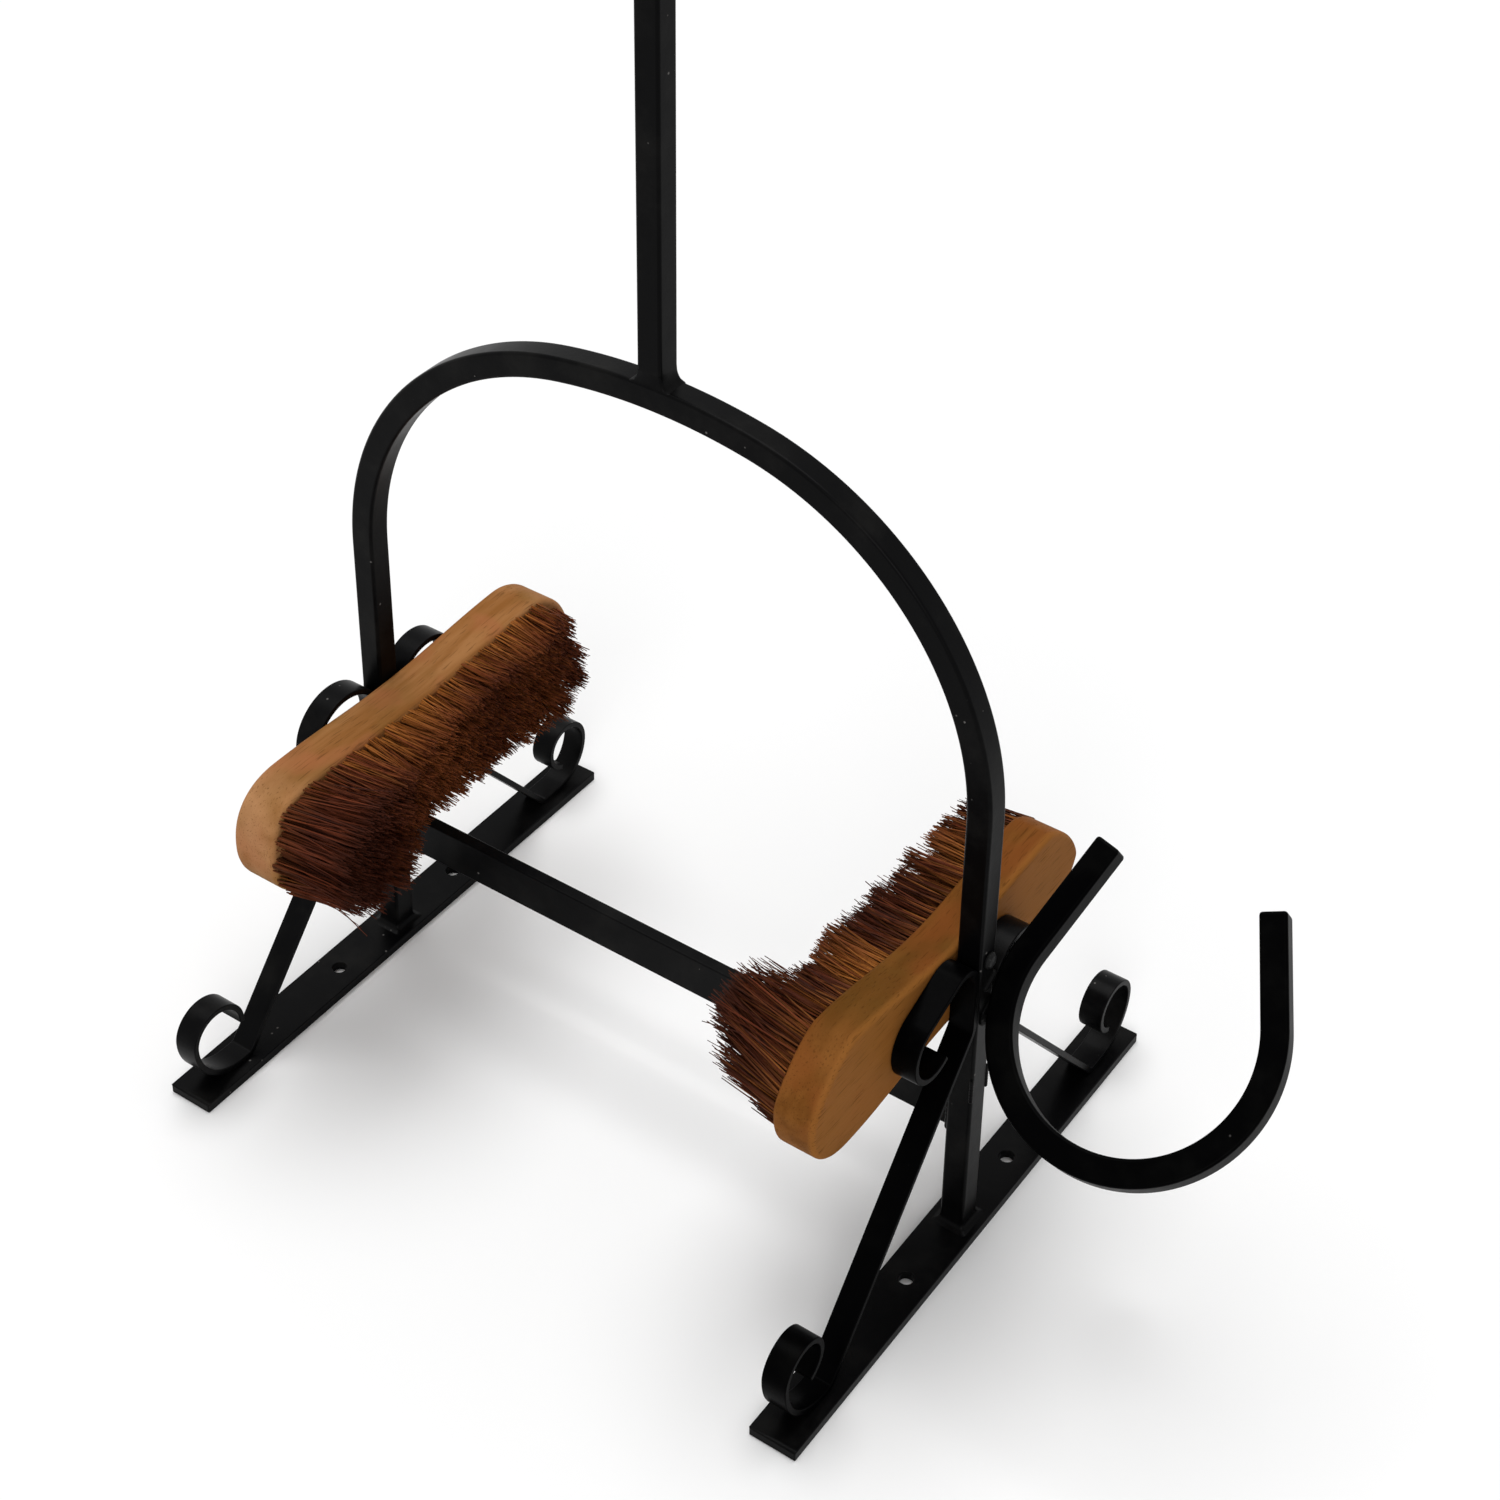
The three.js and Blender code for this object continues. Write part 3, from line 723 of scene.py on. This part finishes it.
@dataclass
class Brace:
    """A thin strip from a scroll on the foot, up a slope, to a scroll on the leg."""

    side: Side
    end: End
    lower_start: float
    lower_radii: tuple
    lower_last: float
    tightness: float = 1.0
    rise: float = 0.0
    flat: float = 0.0
    strip: float = 3.0
    corner: float = 0.5
    slope: float = 50.0
    foot_reach: float = 112.5
    foot_bend: float = 4.0
    leg_bend: float = 9.0
    upper_start: float = 149.0
    upper_radii: tuple = (23.0, 22.0, 17.0)
    upper_turns: tuple = (90.0, 90.0, 100.0)
    # Whether the brace gets the darker paint, as painted shade
    shade_darkened: bool = False

    def name(self) -> str:
        """Gives the brace's own name."""
        return f"{self.end.name.lower()}_{self.side.name.lower()}_brace"

    def loose_end(self) -> tuple:
        """Gives x, y and heading where the scroll on the foot ends, walked from its start."""
        x, y, heading = self.lower_start, FOOT_THICKNESS + self.strip / 2, 0.0
        for radius, angle in zip(self.lower_radii, (90, 90, self.lower_last)):
            centre = (x - radius * math.sin(heading), y + radius * math.cos(heading))
            heading += math.radians(angle)
            x = centre[0] + radius * math.sin(heading)
            y = centre[1] - radius * math.cos(heading)
        return x, y, math.degrees(heading)

    def build(self, dresser: Dresser) -> None:
        """Bends the strip."""
        half = self.strip / 2
        slope = math.radians(self.slope)
        on_leg = BAR_SIDE / 2 + half
        foot_tangent = self.foot_bend * math.tan(slope / 2)
        leg_tangent = self.leg_bend * math.tan((math.pi / 2 - slope) / 2)
        knee = self.foot_reach + half * math.tan(slope / 2)
        knee_height = FOOT_THICKNESS + half + (knee - on_leg) * math.tan(slope)
        x, y, heading = self.loose_end()
        bar = BarBender(self.name() + "_strip", self.strip, BAR_SIDE, x, y, heading - 180)
        root, top, last = self.lower_radii
        bar.bend(last, -self.lower_last, 6).bend(top, -90, 5).bend(root, -90, 5)
        bar.straight(self.lower_start - knee - foot_tangent).bend(self.foot_bend, -self.slope, 8)
        bar.straight((knee - on_leg) / math.cos(slope) - foot_tangent - leg_tangent)
        bar.bend(self.leg_bend, self.slope - 90, 6)
        bar.straight(self.upper_start + self.rise - knee_height - leg_tangent)
        root, top, last = (radius * self.tightness for radius in self.upper_radii)
        bar.bend(root, -self.upper_turns[0], 5)
        if self.flat:
            bar.straight(self.flat)
        bar.bend(top, -self.upper_turns[1], 5).bend(last, -self.upper_turns[2], 5)
        where = at(self.side.value * LEG_X, 0, 0) @ across(self.end.value)
        # A brace in shade gets the darker paint: painted shade.
        finish = dresser.shade_darkened_paint if self.shade_darkened else None
        dresser.hand_over(bar.finish(self.corner, where), self.name(), finish=finish)


@dataclass
class BootJack:
    """The horseshoe of square bar on the outside of the right leg."""

    radius: float = 60.0
    closing: float = 19.0
    inner_prong: float = 57.0
    outer_prong: float = 49.5
    tilt: float = 37.3
    turn: float = 6.8
    setback: float = 14.7
    height: float = 152.5

    def place(self) -> Matrix:
        """Gives the horseshoe's place, from its flat drawing."""
        x = LEG_OUTSIDE + SEAT_GAP + BAR_SIDE / 2 + self.radius
        return at(x, self.setback, self.height) @ turned(self.tilt, "X") @ turned(self.turn, "Z")

    def build(self, dresser: Dresser) -> None:
        """Bends the horseshoe."""
        closing = math.radians(self.closing)
        x = -self.radius * math.cos(closing) + self.inner_prong * math.sin(closing)
        y = self.radius * math.sin(closing) + self.inner_prong * math.cos(closing)
        bar = BarBender("boot_jack_bar", BAR_SIDE, BAR_SIDE, x, y, -90 - self.closing)
        bar.straight(self.inner_prong).bend(self.radius, 180 + 2 * self.closing, 2.5)
        bar.straight(self.outer_prong)
        piece = bar.finish(BAR_CORNER, self.place())
        # The boot jack gets the darker paint, as painted shade.
        dresser.hand_over(piece, "boot_jack", finish=dresser.shade_darkened_paint)


@dataclass
class Brush:
    """A waisted wooden block with tufts of bristle, screwed to the inside of a leg.

    The waists are the lower and the upper one. The corner powers go near lower, near upper, far
    lower, far upper, and a higher one is more pointed. A gold place has its distance towards the
    far end, spread and amount. A worn place has that distance, its height, spread and loss.
    """

    side: Side
    length: float
    width: float
    waists: tuple
    thickness: float
    corner_powers: tuple
    height: float
    shift: float
    pitch: float
    bristle_lengths: tuple
    gold_places: tuple
    seed: int
    pinch: float
    tone: float
    worn_places: tuple
    tuft_size: tuple
    fibres_per_tuft: int
    lift: float = 0.0
    near_margin: float = 2.4
    far_margin: float = 2.4
    row_inset: float = 6.6
    arc_inset: float = 8.2
    rim: float = 3.0
    tuft_pitch: float = 13.5
    rows: int = 5
    strand_radius: float = 0.38
    strand_seat: float = 0.6
    lean_limit: float = 0.32
    bow_limit: float = 0.12
    stray_share: float = 0.03
    stray_limit: float = 0.2

    def name(self) -> str:
        """Gives the leg's name."""
        return self.side.name.lower()

    def place(self) -> Matrix:
        """Gives the block's place: its back on z = 0 of the drawing."""
        x = self.side.value * (LEG_INSIDE - SEAT_GAP)
        place = at(x, self.shift, self.height)
        return place @ turned(-self.pitch, "X") @ across(-self.side.value)

    def bulge(self) -> float:
        """Gives the distance from the middle to the widest place."""
        return (self.length - self.width) / 2

    def corner_power(self, x: float, up: float) -> float:
        """Gives the roundness of the corner that lies towards a place on the block."""
        far = -self.side.value * x > 0
        return self.corner_powers[2 * far + (up > 0)]

    def half_width(self, x: float, up: float) -> float:
        """Gives the distance from the block's middle line to its outline.

        Args:
            x: the place along the block.
            up: over 0 for the upper flank.

        Returns:
            The distance in millimetres.
        """
        power = self.corner_power(x, up)
        past = abs(x) - self.bulge()
        radius = self.width / 2
        if past <= 0:
            waist = self.waists[up > 0]
            ease = (1 - math.cos(math.pi * abs(x) / self.bulge())) / 2
            return (waist + (self.width - waist) * ease) / 2
        share = min(1.0, past / radius)
        return radius * (1 - share ** (2 / power)) ** (power / 2)

    def carve(self) -> Piece:
        """Makes the block from a disc, drawn out, waisted, thickened and rounded."""
        radius = self.width / 2
        sizes = {"vertices": 96, "radius": radius * MM, "rotation": (0, 0, math.pi / 96)}
        disc = bpy.ops.mesh.primitive_circle_add
        block = Bench.add(disc, self.name() + "_block", fill_type="NGON", **sizes)
        Bench.edit(block)
        for sense in (-1, 1):
            Bench.pick(block, lambda v, s=sense: v.co.x * s > 0)
            bpy.ops.transform.translate(value=(sense * self.bulge() * MM, 0, 0))
        Bench.pick(block, lambda e: e.calc_length() > self.bulge() * MM, "edges")
        bpy.ops.mesh.subdivide(number_cuts=40)
        work = bmesh.from_edit_mesh(block.data)
        work.verts.index_update()
        columns: dict[tuple, set] = {}
        last = -1.0
        for x, y, index in sorted((v.co.x, v.co.y, v.index) for v in work.verts):
            last = x if x - last > 0.00001 else last
            columns.setdefault((last, y > 0), set()).add(index)
        for (column, upper), members in columns.items():
            past = abs(column) / MM - self.bulge()
            share = min(1.0, max(0.0, past / radius))
            power = self.corner_power(column, upper)
            moved = self.bulge() + radius * share**power if past > 0 else abs(column) / MM
            moved = math.copysign(moved, column)
            before = radius * math.sqrt(max(1e-9, 1 - share * share))
            after = self.half_width(moved, upper)
            Bench.pick(block, lambda v, m=members: v.index in m)
            scale = (1, after / before, 1)
            bpy.ops.transform.resize(value=scale, center_override=(column, 0, 0))
            bpy.ops.transform.translate(value=(moved * MM - column, 0, 0))
        bpy.ops.mesh.select_mode(type="FACE")
        bpy.ops.mesh.select_all(action="SELECT")
        up = (0, 0, self.thickness * MM)
        bpy.ops.mesh.extrude_region_move(TRANSFORM_OT_translate={"value": up})
        Bench.close(block)
        Bench.round_edges(block, self.rim, 5, 60)
        block.data.transform(self.place())
        return block

    def tufts(self, rng: np.random.Generator) -> np.ndarray:
        """Gives the tufts' roots: rows that follow the outline, and an arc at the near end."""
        roots = []
        for row in range(self.rows):
            share = 2 * row / (self.rows - 1) - 1
            count = int(self.length / self.tuft_pitch)
            for column in range(count + 1):
                x = (column + (row % 2) / 2 - count / 2) * self.tuft_pitch
                margin = self.far_margin if self.side.value * x < 0 else self.near_margin
                drawn = x * self.length / (self.length - 2 * margin)
                room = self.half_width(drawn, share) - self.row_inset
                if abs(x) <= self.length / 2 - self.row_inset - margin and room >= 1:
                    roots.append((x, share * room))
        inset = self.width / 2 - self.arc_inset
        for degrees in range(-75, 76, 25):
            angle = math.radians(abs(degrees))
            power = self.corner_power(self.side.value, degrees)
            x = self.side.value * (self.bulge() + inset * math.cos(angle) ** power)
            roots.append((x, math.copysign(inset * math.sin(angle) ** power, degrees)))
        return np.array(roots) + rng.normal(0, 0.5, (len(roots), 2))

    def bristle_length(self, x: np.ndarray) -> np.ndarray:
        """Gives the bristles' length along the block, from its near end to its far end."""
        places = np.linspace(-1, 1, len(self.bristle_lengths))
        return np.interp(-self.side.value * x * 2 / self.length, places, self.bristle_lengths)

    def strand(self) -> tuple[np.ndarray, list]:
        """Shapes one strand of unit length and radius, cut into three lengths.

        Returns:
            Its corners, and the corner numbers of each face.
        """
        sizes = {"vertices": 3, "radius1": 1, "radius2": 0.55, "depth": 1}
        cone = bpy.ops.mesh.primitive_cone_add
        strand = Bench.add(cone, "strand", location=(0, 0, 0.5), **sizes)
        Bench.edit(strand)
        for height in (0.35, 0.7):
            bpy.ops.mesh.select_all(action="SELECT")
            bpy.ops.mesh.bisect(plane_co=(0, 0, height), plane_no=(0, 0, 1))
        Bench.close(strand)
        corners = np.array([v.co for v in strand.data.vertices])
        faces = [tuple(p.vertices) for p in strand.data.polygons]
        bpy.data.objects.remove(strand)
        return corners, faces

    def scatter(self, rng: np.random.Generator) -> tuple[np.ndarray, ...]:
        """Scatters the strands over the tufts, splayed and a little bent.

        Args:
            rng: the source of everything uneven.

        Returns:
            The middle of each strand's tuft, and its root, length, lean and bow.
        """
        tufts = self.tufts(rng)
        tuft = np.repeat(np.arange(len(tufts)), self.fibres_per_tuft)
        total = len(tuft)
        centre = tufts[tuft]
        reach = np.sqrt(rng.random(total))
        angle = rng.random(total) * 2 * math.pi
        offset = np.stack([reach * np.cos(angle), reach * np.sin(angle)], 1) * self.tuft_size
        root = centre + offset
        toward_far = -self.side.value * root[:, 0]

        tuft_lean = rng.normal(0, 0.05, (len(tufts), 2))[tuft]
        tuft_length = (1 + rng.normal(0, 0.035, len(tufts)))[tuft]
        length = self.bristle_length(root[:, 0]) * tuft_length * (1 + rng.normal(0, 0.04, total))
        for far, up, spread, share in self.worn_places:
            apart = np.hypot(toward_far - far, root[:, 1] - up)
            length *= 1 - share * np.exp(-((apart / spread) ** 2))
        gather = -centre * np.array([0.0007, 0.0]) * length[:, None] / 20
        pinch = -offset * (self.pinch / length[:, None])
        lean = pinch + tuft_lean + gather + rng.normal(0, 0.035, (total, 2))
        # The bristles at the near end are brushed upwards
        lean[:, 1] += self.lift * np.clip(-toward_far / self.length * 5 - 1.5, 0, 1)
        stray = rng.random(total) < self.stray_share
        limit = self.stray_limit
        lean[stray] += rng.normal(0, 0.11, (int(stray.sum()), 2)).clip(-limit, limit)
        bow = rng.normal(0, 0.05, (total, 2)).clip(-self.bow_limit, self.bow_limit)
        return centre, root, length, lean.clip(-self.lean_limit, self.lean_limit), bow

    def plant(self) -> Piece:
        """Plants the tufts: the one strand, copied into each."""
        rng = np.random.default_rng(self.seed)
        centre, root, length, lean, bow = self.scatter(rng)
        total = len(root)
        shape, faces = self.strand()
        along = shape[:, 2]
        twist = rng.random(total) * 2 * math.pi
        thick = self.strand_radius * (1 + rng.normal(0, 0.14, total))
        cos, sin = np.cos(twist)[:, None], np.sin(twist)[:, None]
        sections = (shape[:, 0] * cos - shape[:, 1] * sin, shape[:, 0] * sin + shape[:, 1] * cos)
        rise = length[:, None] * along
        verts = np.empty((total, len(shape), 3))
        for axis, section in enumerate(sections):
            curve = lean[:, axis, None] * rise + bow[:, axis, None] * rise * along
            verts[:, :, axis] = root[:, axis, None] + section * thick[:, None] + curve
        verts[:, :, 2] = self.thickness - self.strand_seat + rise
        verts *= MM

        mesh = bpy.data.meshes.new(self.name() + "_tufts")
        moved = [tuple(i + k * len(shape) for i in face) for k in range(total) for face in faces]
        mesh.from_pydata(verts.reshape(-1, 3).tolist(), [], moved)
        patch = np.zeros(total)
        for place, spread, amount in self.gold_places:
            apart = -self.side.value * centre[:, 0] - place
            patch += amount * np.exp(-((apart / spread) ** 2))
        tone = np.clip(rng.normal(self.tone, 0.28, total) + 0.4 * patch, 0, 1)
        gold = np.clip(rng.normal(-0.05, 0.28, total) + patch, 0, 1)
        levels = {
            "tone": np.repeat(tone, len(shape)),
            "gold": np.repeat(gold, len(shape)),
            "along": np.tile(along, total),
        }
        for key, values in levels.items():
            attribute = mesh.attributes.new(key, "FLOAT", "POINT")
            attribute.data.foreach_set("value", values.astype(np.float32))
        piece = bpy.data.objects.new(mesh.name, mesh)
        bpy.context.scene.collection.objects.link(piece)
        mesh.transform(self.place())
        return piece

    def build(self, dresser: Dresser) -> None:
        """Carves the block, plants the bristles and finishes the screws."""
        brown = dresser.brown_wood if self.side is Side.RIGHT else None
        dresser.hand_over(self.carve(), self.name() + "_brush_block", Slot.WOOD, brown)
        dresser.hand_over(self.plant(), self.name() + "_bristles", Slot.BRISTLE)
        for level in ("lower", "upper"):
            dresser.repaint(f"{self.name()}_brush_screw_{level}", Slot.SCREW)


@dataclass
class Welds:
    """Welds in the corners between the bars, ground smooth and painted over.

    A fillet runs out in X and in Y and then along its bar, downwards if that is negative.
    """

    radius: float = 2.0
    spacing: float = 1.2
    steps: int = 7
    corner: float = 1.9
    foot_fillet: tuple = (3.0, 3.4, 3.6)
    stem_fillet: tuple = (4.6, 0.25, 7.0)
    grip_fillet: tuple = (3.2, 0.25, -5.0)
    brace_heights: tuple = (88.0, 100.0)
    brace_inset: float = 0.4
    brace_size: float = 0.55
    jack_heights: tuple = (138.5, 153.0)
    jack_size: float = 0.8

    def bead(self, name: str, start: Numbers, end: Numbers, size: float = 1.0) -> Piece:
        """Lays one bead of overlapping drops along a corner.

        Args:
            name: the bead's name.
            start: where it starts, in millimetres.
            end: where it ends.
            size: its thickness against the usual bead.

        Returns:
            The bead, fused to one skin.
        """
        first, last = Vector(start), Vector(end)
        run = last - first
        count = max(2, round(run.length / self.spacing / size))
        ball = bpy.ops.mesh.primitive_ico_sphere_add
        drops = []
        for i in range(count + 1):
            place = at(*(first + run * i / count)).translation
            swell = 1 + 0.08 * math.sin(i * 2.4 + first.x)
            radius = self.radius * size * swell * MM
            drops.append(Bench.add(ball, "drop", subdivisions=2, radius=radius, location=place))
        bead = Bench.join(drops, name)
        Bench.modify(bead, "REMESH", mode="VOXEL", voxel_size=0.5 * size * MM)
        Bench.modify(bead, "SMOOTH", factor=0.5, iterations=6)
        Bench.smooth(bead, 80)
        return bead

    def collar(self, name: str, middle: Numbers, fillet: Numbers) -> Piece:
        """Draws a hollow fillet along a square bar from the bar it stands on.

        Args:
            name: the weld's name.
            middle: the middle of the joint, in millimetres.
            fillet: the fillet's sizes.

        Returns:
            The weld.
        """
        sizes = []
        for i in range(self.steps + 1):
            hollow = 1 - math.sqrt(1 - (1 - i / self.steps) ** 2)
            sizes.append([(BAR_SIDE + 2 * run * hollow) * MM for run in fillet[:2]])
        weld = Bench.add(bpy.ops.mesh.primitive_plane_add, name, size=1)
        weld.data.transform(Matrix.Diagonal((*sizes[0], 1, 1)))
        Bench.edit(weld)
        bpy.ops.mesh.bevel(offset=self.corner * MM, segments=4, affect="VERTICES")
        step = (0, 0, fillet[2] * MM / self.steps)
        for before, after in zip(sizes, sizes[1:]):
            bpy.ops.mesh.select_mode(type="FACE")
            bpy.ops.mesh.extrude_region_move(TRANSFORM_OT_translate={"value": step})
            value = (after[0] / before[0], after[1] / before[1], 1)
            bpy.ops.transform.resize(value=value, center_override=(0, 0, 0))
        Bench.close(weld)
        Bench.smooth(weld, 50)
        weld.data.transform(at(*middle))
        return weld

    def seams(self, name: str, runs: Sequence[tuple], size: float = 1.0) -> Piece:
        """Lays a bead along each run, from its start to its end, and joins them."""
        return Bench.join([self.bead("seam", *run, size) for run in runs], name)

    def build(self, dresser: Dresser, arch: Arch, scraper: Scraper) -> None:
        """Welds the legs to the feet, the scraper to the legs and the handle together."""
        inset = BAR_SIDE / 2 - self.brace_inset
        bottom, top = self.brace_heights
        low, high = scraper.underside, scraper.underside + scraper.height
        for side in Side:
            leg = side.name.lower()
            x, inside = side.value * LEG_X, side.value * LEG_INSIDE
            place = (x, 0, FOOT_THICKNESS)
            dresser.hand_over(self.collar(leg + "_foot_weld", place, self.foot_fillet))
            sides = (-scraper.thickness / 2, scraper.thickness / 2)
            runs = [((inside, y, low), (inside, y, high)) for y in sides]
            dresser.hand_over(self.seams(leg + "_scraper_weld", runs))
            for end in End:
                y = end.value * BAR_SIDE / 2
                runs = [((x + off, y, bottom), (x + off, y, top)) for off in (-inset, inset)]
                name = f"{end.name.lower()}_{leg}_brace_weld"
                dresser.hand_over(self.seams(name, runs, self.brace_size))
        runs = [((LEG_OUTSIDE, -1, z), (LEG_OUTSIDE, 5.5, z + 4)) for z in self.jack_heights]
        dresser.hand_over(self.seams("jack_weld", runs, self.jack_size))
        place = (0, 0, arch.crown_top() - 0.5)
        dresser.hand_over(self.collar("stem_weld", place, self.stem_fillet))
        place = (0, 0, arch.handle_top - BAR_SIDE)
        dresser.hand_over(self.collar("grip_weld", place, self.grip_fillet))


# The hand-made pieces, each with its own sizes

BRACES = (
    Brace(
        Side.LEFT, End.FRONT, lower_start=119.4, lower_radii=(28.2, 13.9, 16.5), lower_last=95.0
    ),
    Brace(
        Side.RIGHT,
        End.FRONT,
        lower_start=116.5,
        lower_radii=(31.9, 14.0, 12.5),
        lower_last=160.0,
        rise=12.0,
        flat=23.0,
        upper_radii=(12.0, 15.8, 16.0),
        upper_turns=(112.0, 68.0, 125.0),
        # Painted shade: this brace gets the darker paint.
        shade_darkened=True,
    ),
    Brace(
        Side.LEFT,
        End.BACK,
        lower_start=126.3,
        lower_radii=(22.1, 15.2, 12.2),
        lower_last=164.0,
        tightness=0.88,
    ),
    Brace(
        Side.RIGHT,
        End.BACK,
        lower_start=124.0,
        lower_radii=(23.9, 15.3, 12.2),
        lower_last=162.0,
        tightness=0.8,
        rise=-5.0,
    ),
)

BRUSHES = (
    Brush(
        Side.LEFT,
        length=219.5,
        width=62.2,
        waists=(49.4, 55.0),
        thickness=24.5,
        corner_powers=(1.0, 0.85, 1.0, 1.05),
        far_margin=7.4,
        height=139.2,
        shift=-1.55,
        pitch=-1.0,
        bristle_lengths=(40, 36, 30, 23, 20, 23, 25),
        gold_places=((-14, 38, 1.0), (62, 26, 0.65), (-100, 25, -0.5)),
        seed=5,
        pinch=0.2,
        tone=0.6,
        worn_places=((109, 27, 24, 0.75), (-27, -18, 14, 0.33)),
        tuft_size=(8.2, 6.0),
        fibres_per_tuft=110,
    ),
    Brush(
        Side.RIGHT,
        length=218.0,
        width=59.0,
        waists=(43.0, 43.0),
        thickness=21.0,
        corner_powers=(0.85, 1.4, 1.4, 1.4),
        height=152.0,
        shift=-6.0,
        pitch=1.9,
        bristle_lengths=(51, 47, 26, 30, 31, 30, 27.5, 25, 20),
        gold_places=((54, 15, 1.0), (-34, 15, 0.95)),
        seed=8,
        pinch=0.34,
        tone=0.21,
        worn_places=((-109, -25.5, 31, 0.95),),
        tuft_size=(7.2, 5.6),
        fibres_per_tuft=105,
        lift=0.16,
    ),
)


# Studio


@dataclass
class Studio:
    """The pale floor, the soft light and the camera."""

    lens: float = 70.392
    eye: tuple = (620.2, -822.9, 1062.0)
    azimuth: float = 33.09
    elevation: float = 32.17
    roll: float = 1.69
    shift: tuple = (-0.0513, -0.2653)
    wall_light: float = 0.24

    def build(self) -> None:
        """Sets up the room."""
        self.floor()
        self.lamp("top_lamp", (-0.3, 0.3, 2.4), 50, 2.3)
        self.lamp("front_lamp", (1.2, -2.4, 1.4), 30, 0.8)
        self.world()
        self.camera()
        bpy.context.scene.view_settings.view_transform = "Standard"

    def floor(self) -> None:
        """Lays a pale floor that keeps the object's shadow."""
        floor = Bench.add(bpy.ops.mesh.primitive_plane_add, "floor", size=24)
        book = NodeBook("pale_floor")
        tint = book.noise(1.5, 3.0).between(0.2, 0.8)
        colour = book.coats((0.95, 0.95, 0.95, 1), (tint, (0.97, 0.97, 0.97, 1)))
        diffuse = book.node("ShaderNodeBsdfDiffuse", None, {"Color": colour})
        book.node("ShaderNodeOutputMaterial", None, {"Surface": diffuse})
        floor.data.materials.append(book.owner)

    def lamp(self, name: str, place: Numbers, spread: float, strength: float) -> None:
        """Hangs a wide, soft lamp so far off that it lights the whole floor alike.

        Args:
            name: the lamp's name.
            place: where it stands, seen from the brushes, in metres.
            spread: how wide it looks, in degrees.
            strength: its strength in watts per square metre.
        """
        light = bpy.data.lights.new(name, "SUN")
        light.angle = math.radians(spread)
        light.energy = strength
        lamp = bpy.data.objects.new(name, light)
        lamp.location = place
        lamp.rotation_euler = Vector(place).to_track_quat("Z", "Y").to_euler()
        bpy.context.scene.collection.objects.link(lamp)

    def world(self) -> None:
        """Gives the room its plain light, and white walls for the eye and for gloss."""
        book = NodeBook("room", "worlds")
        rays = ("Is Camera Ray", "Is Glossy Ray", "Is Transmission Ray")
        seen = sum(book.node("ShaderNodeLightPath", out=ray) for ray in rays)
        walls = {"Value": seen, "To Min": self.wall_light}
        strength = book.node("ShaderNodeMapRange", None, walls)
        light = {"Color": (1, 1, 1, 1), "Strength": strength}
        background = book.node("ShaderNodeBackground", None, light)
        book.node("ShaderNodeOutputWorld", None, {"Surface": background})
        bpy.context.scene.world = book.owner

    def camera(self) -> None:
        """Sets the camera where the photograph was taken from."""
        data = bpy.data.cameras.new("camera")
        data.sensor_fit = "HORIZONTAL"
        data.sensor_width = 36
        data.lens = self.lens
        data.shift_x, data.shift_y = self.shift
        data.clip_end = 100
        camera = bpy.data.objects.new("camera", data)
        place = at(*self.eye)
        for degrees, axis in ((self.azimuth, "Z"), (90 - self.elevation, "X"), (self.roll, "Z")):
            place = place @ turned(degrees, axis)
        camera.matrix_world = place
        bpy.context.scene.collection.objects.link(camera)
        bpy.context.scene.camera = camera


def main() -> None:
    """Builds the boot scraper and the room around it."""
    logging.basicConfig(level=logging.INFO, format="%(name)s: %(message)s")
    dresser = Dresser()
    Studio().build()
    arch, scraper = Arch(), Scraper()
    feet = [Foot(side) for side in Side]
    for part in (arch, scraper, *feet, *BRACES, BootJack(), *BRUSHES):
        part.build(dresser)
    Welds().build(dresser, arch, scraper)


if __name__ == "__main__":
    main()
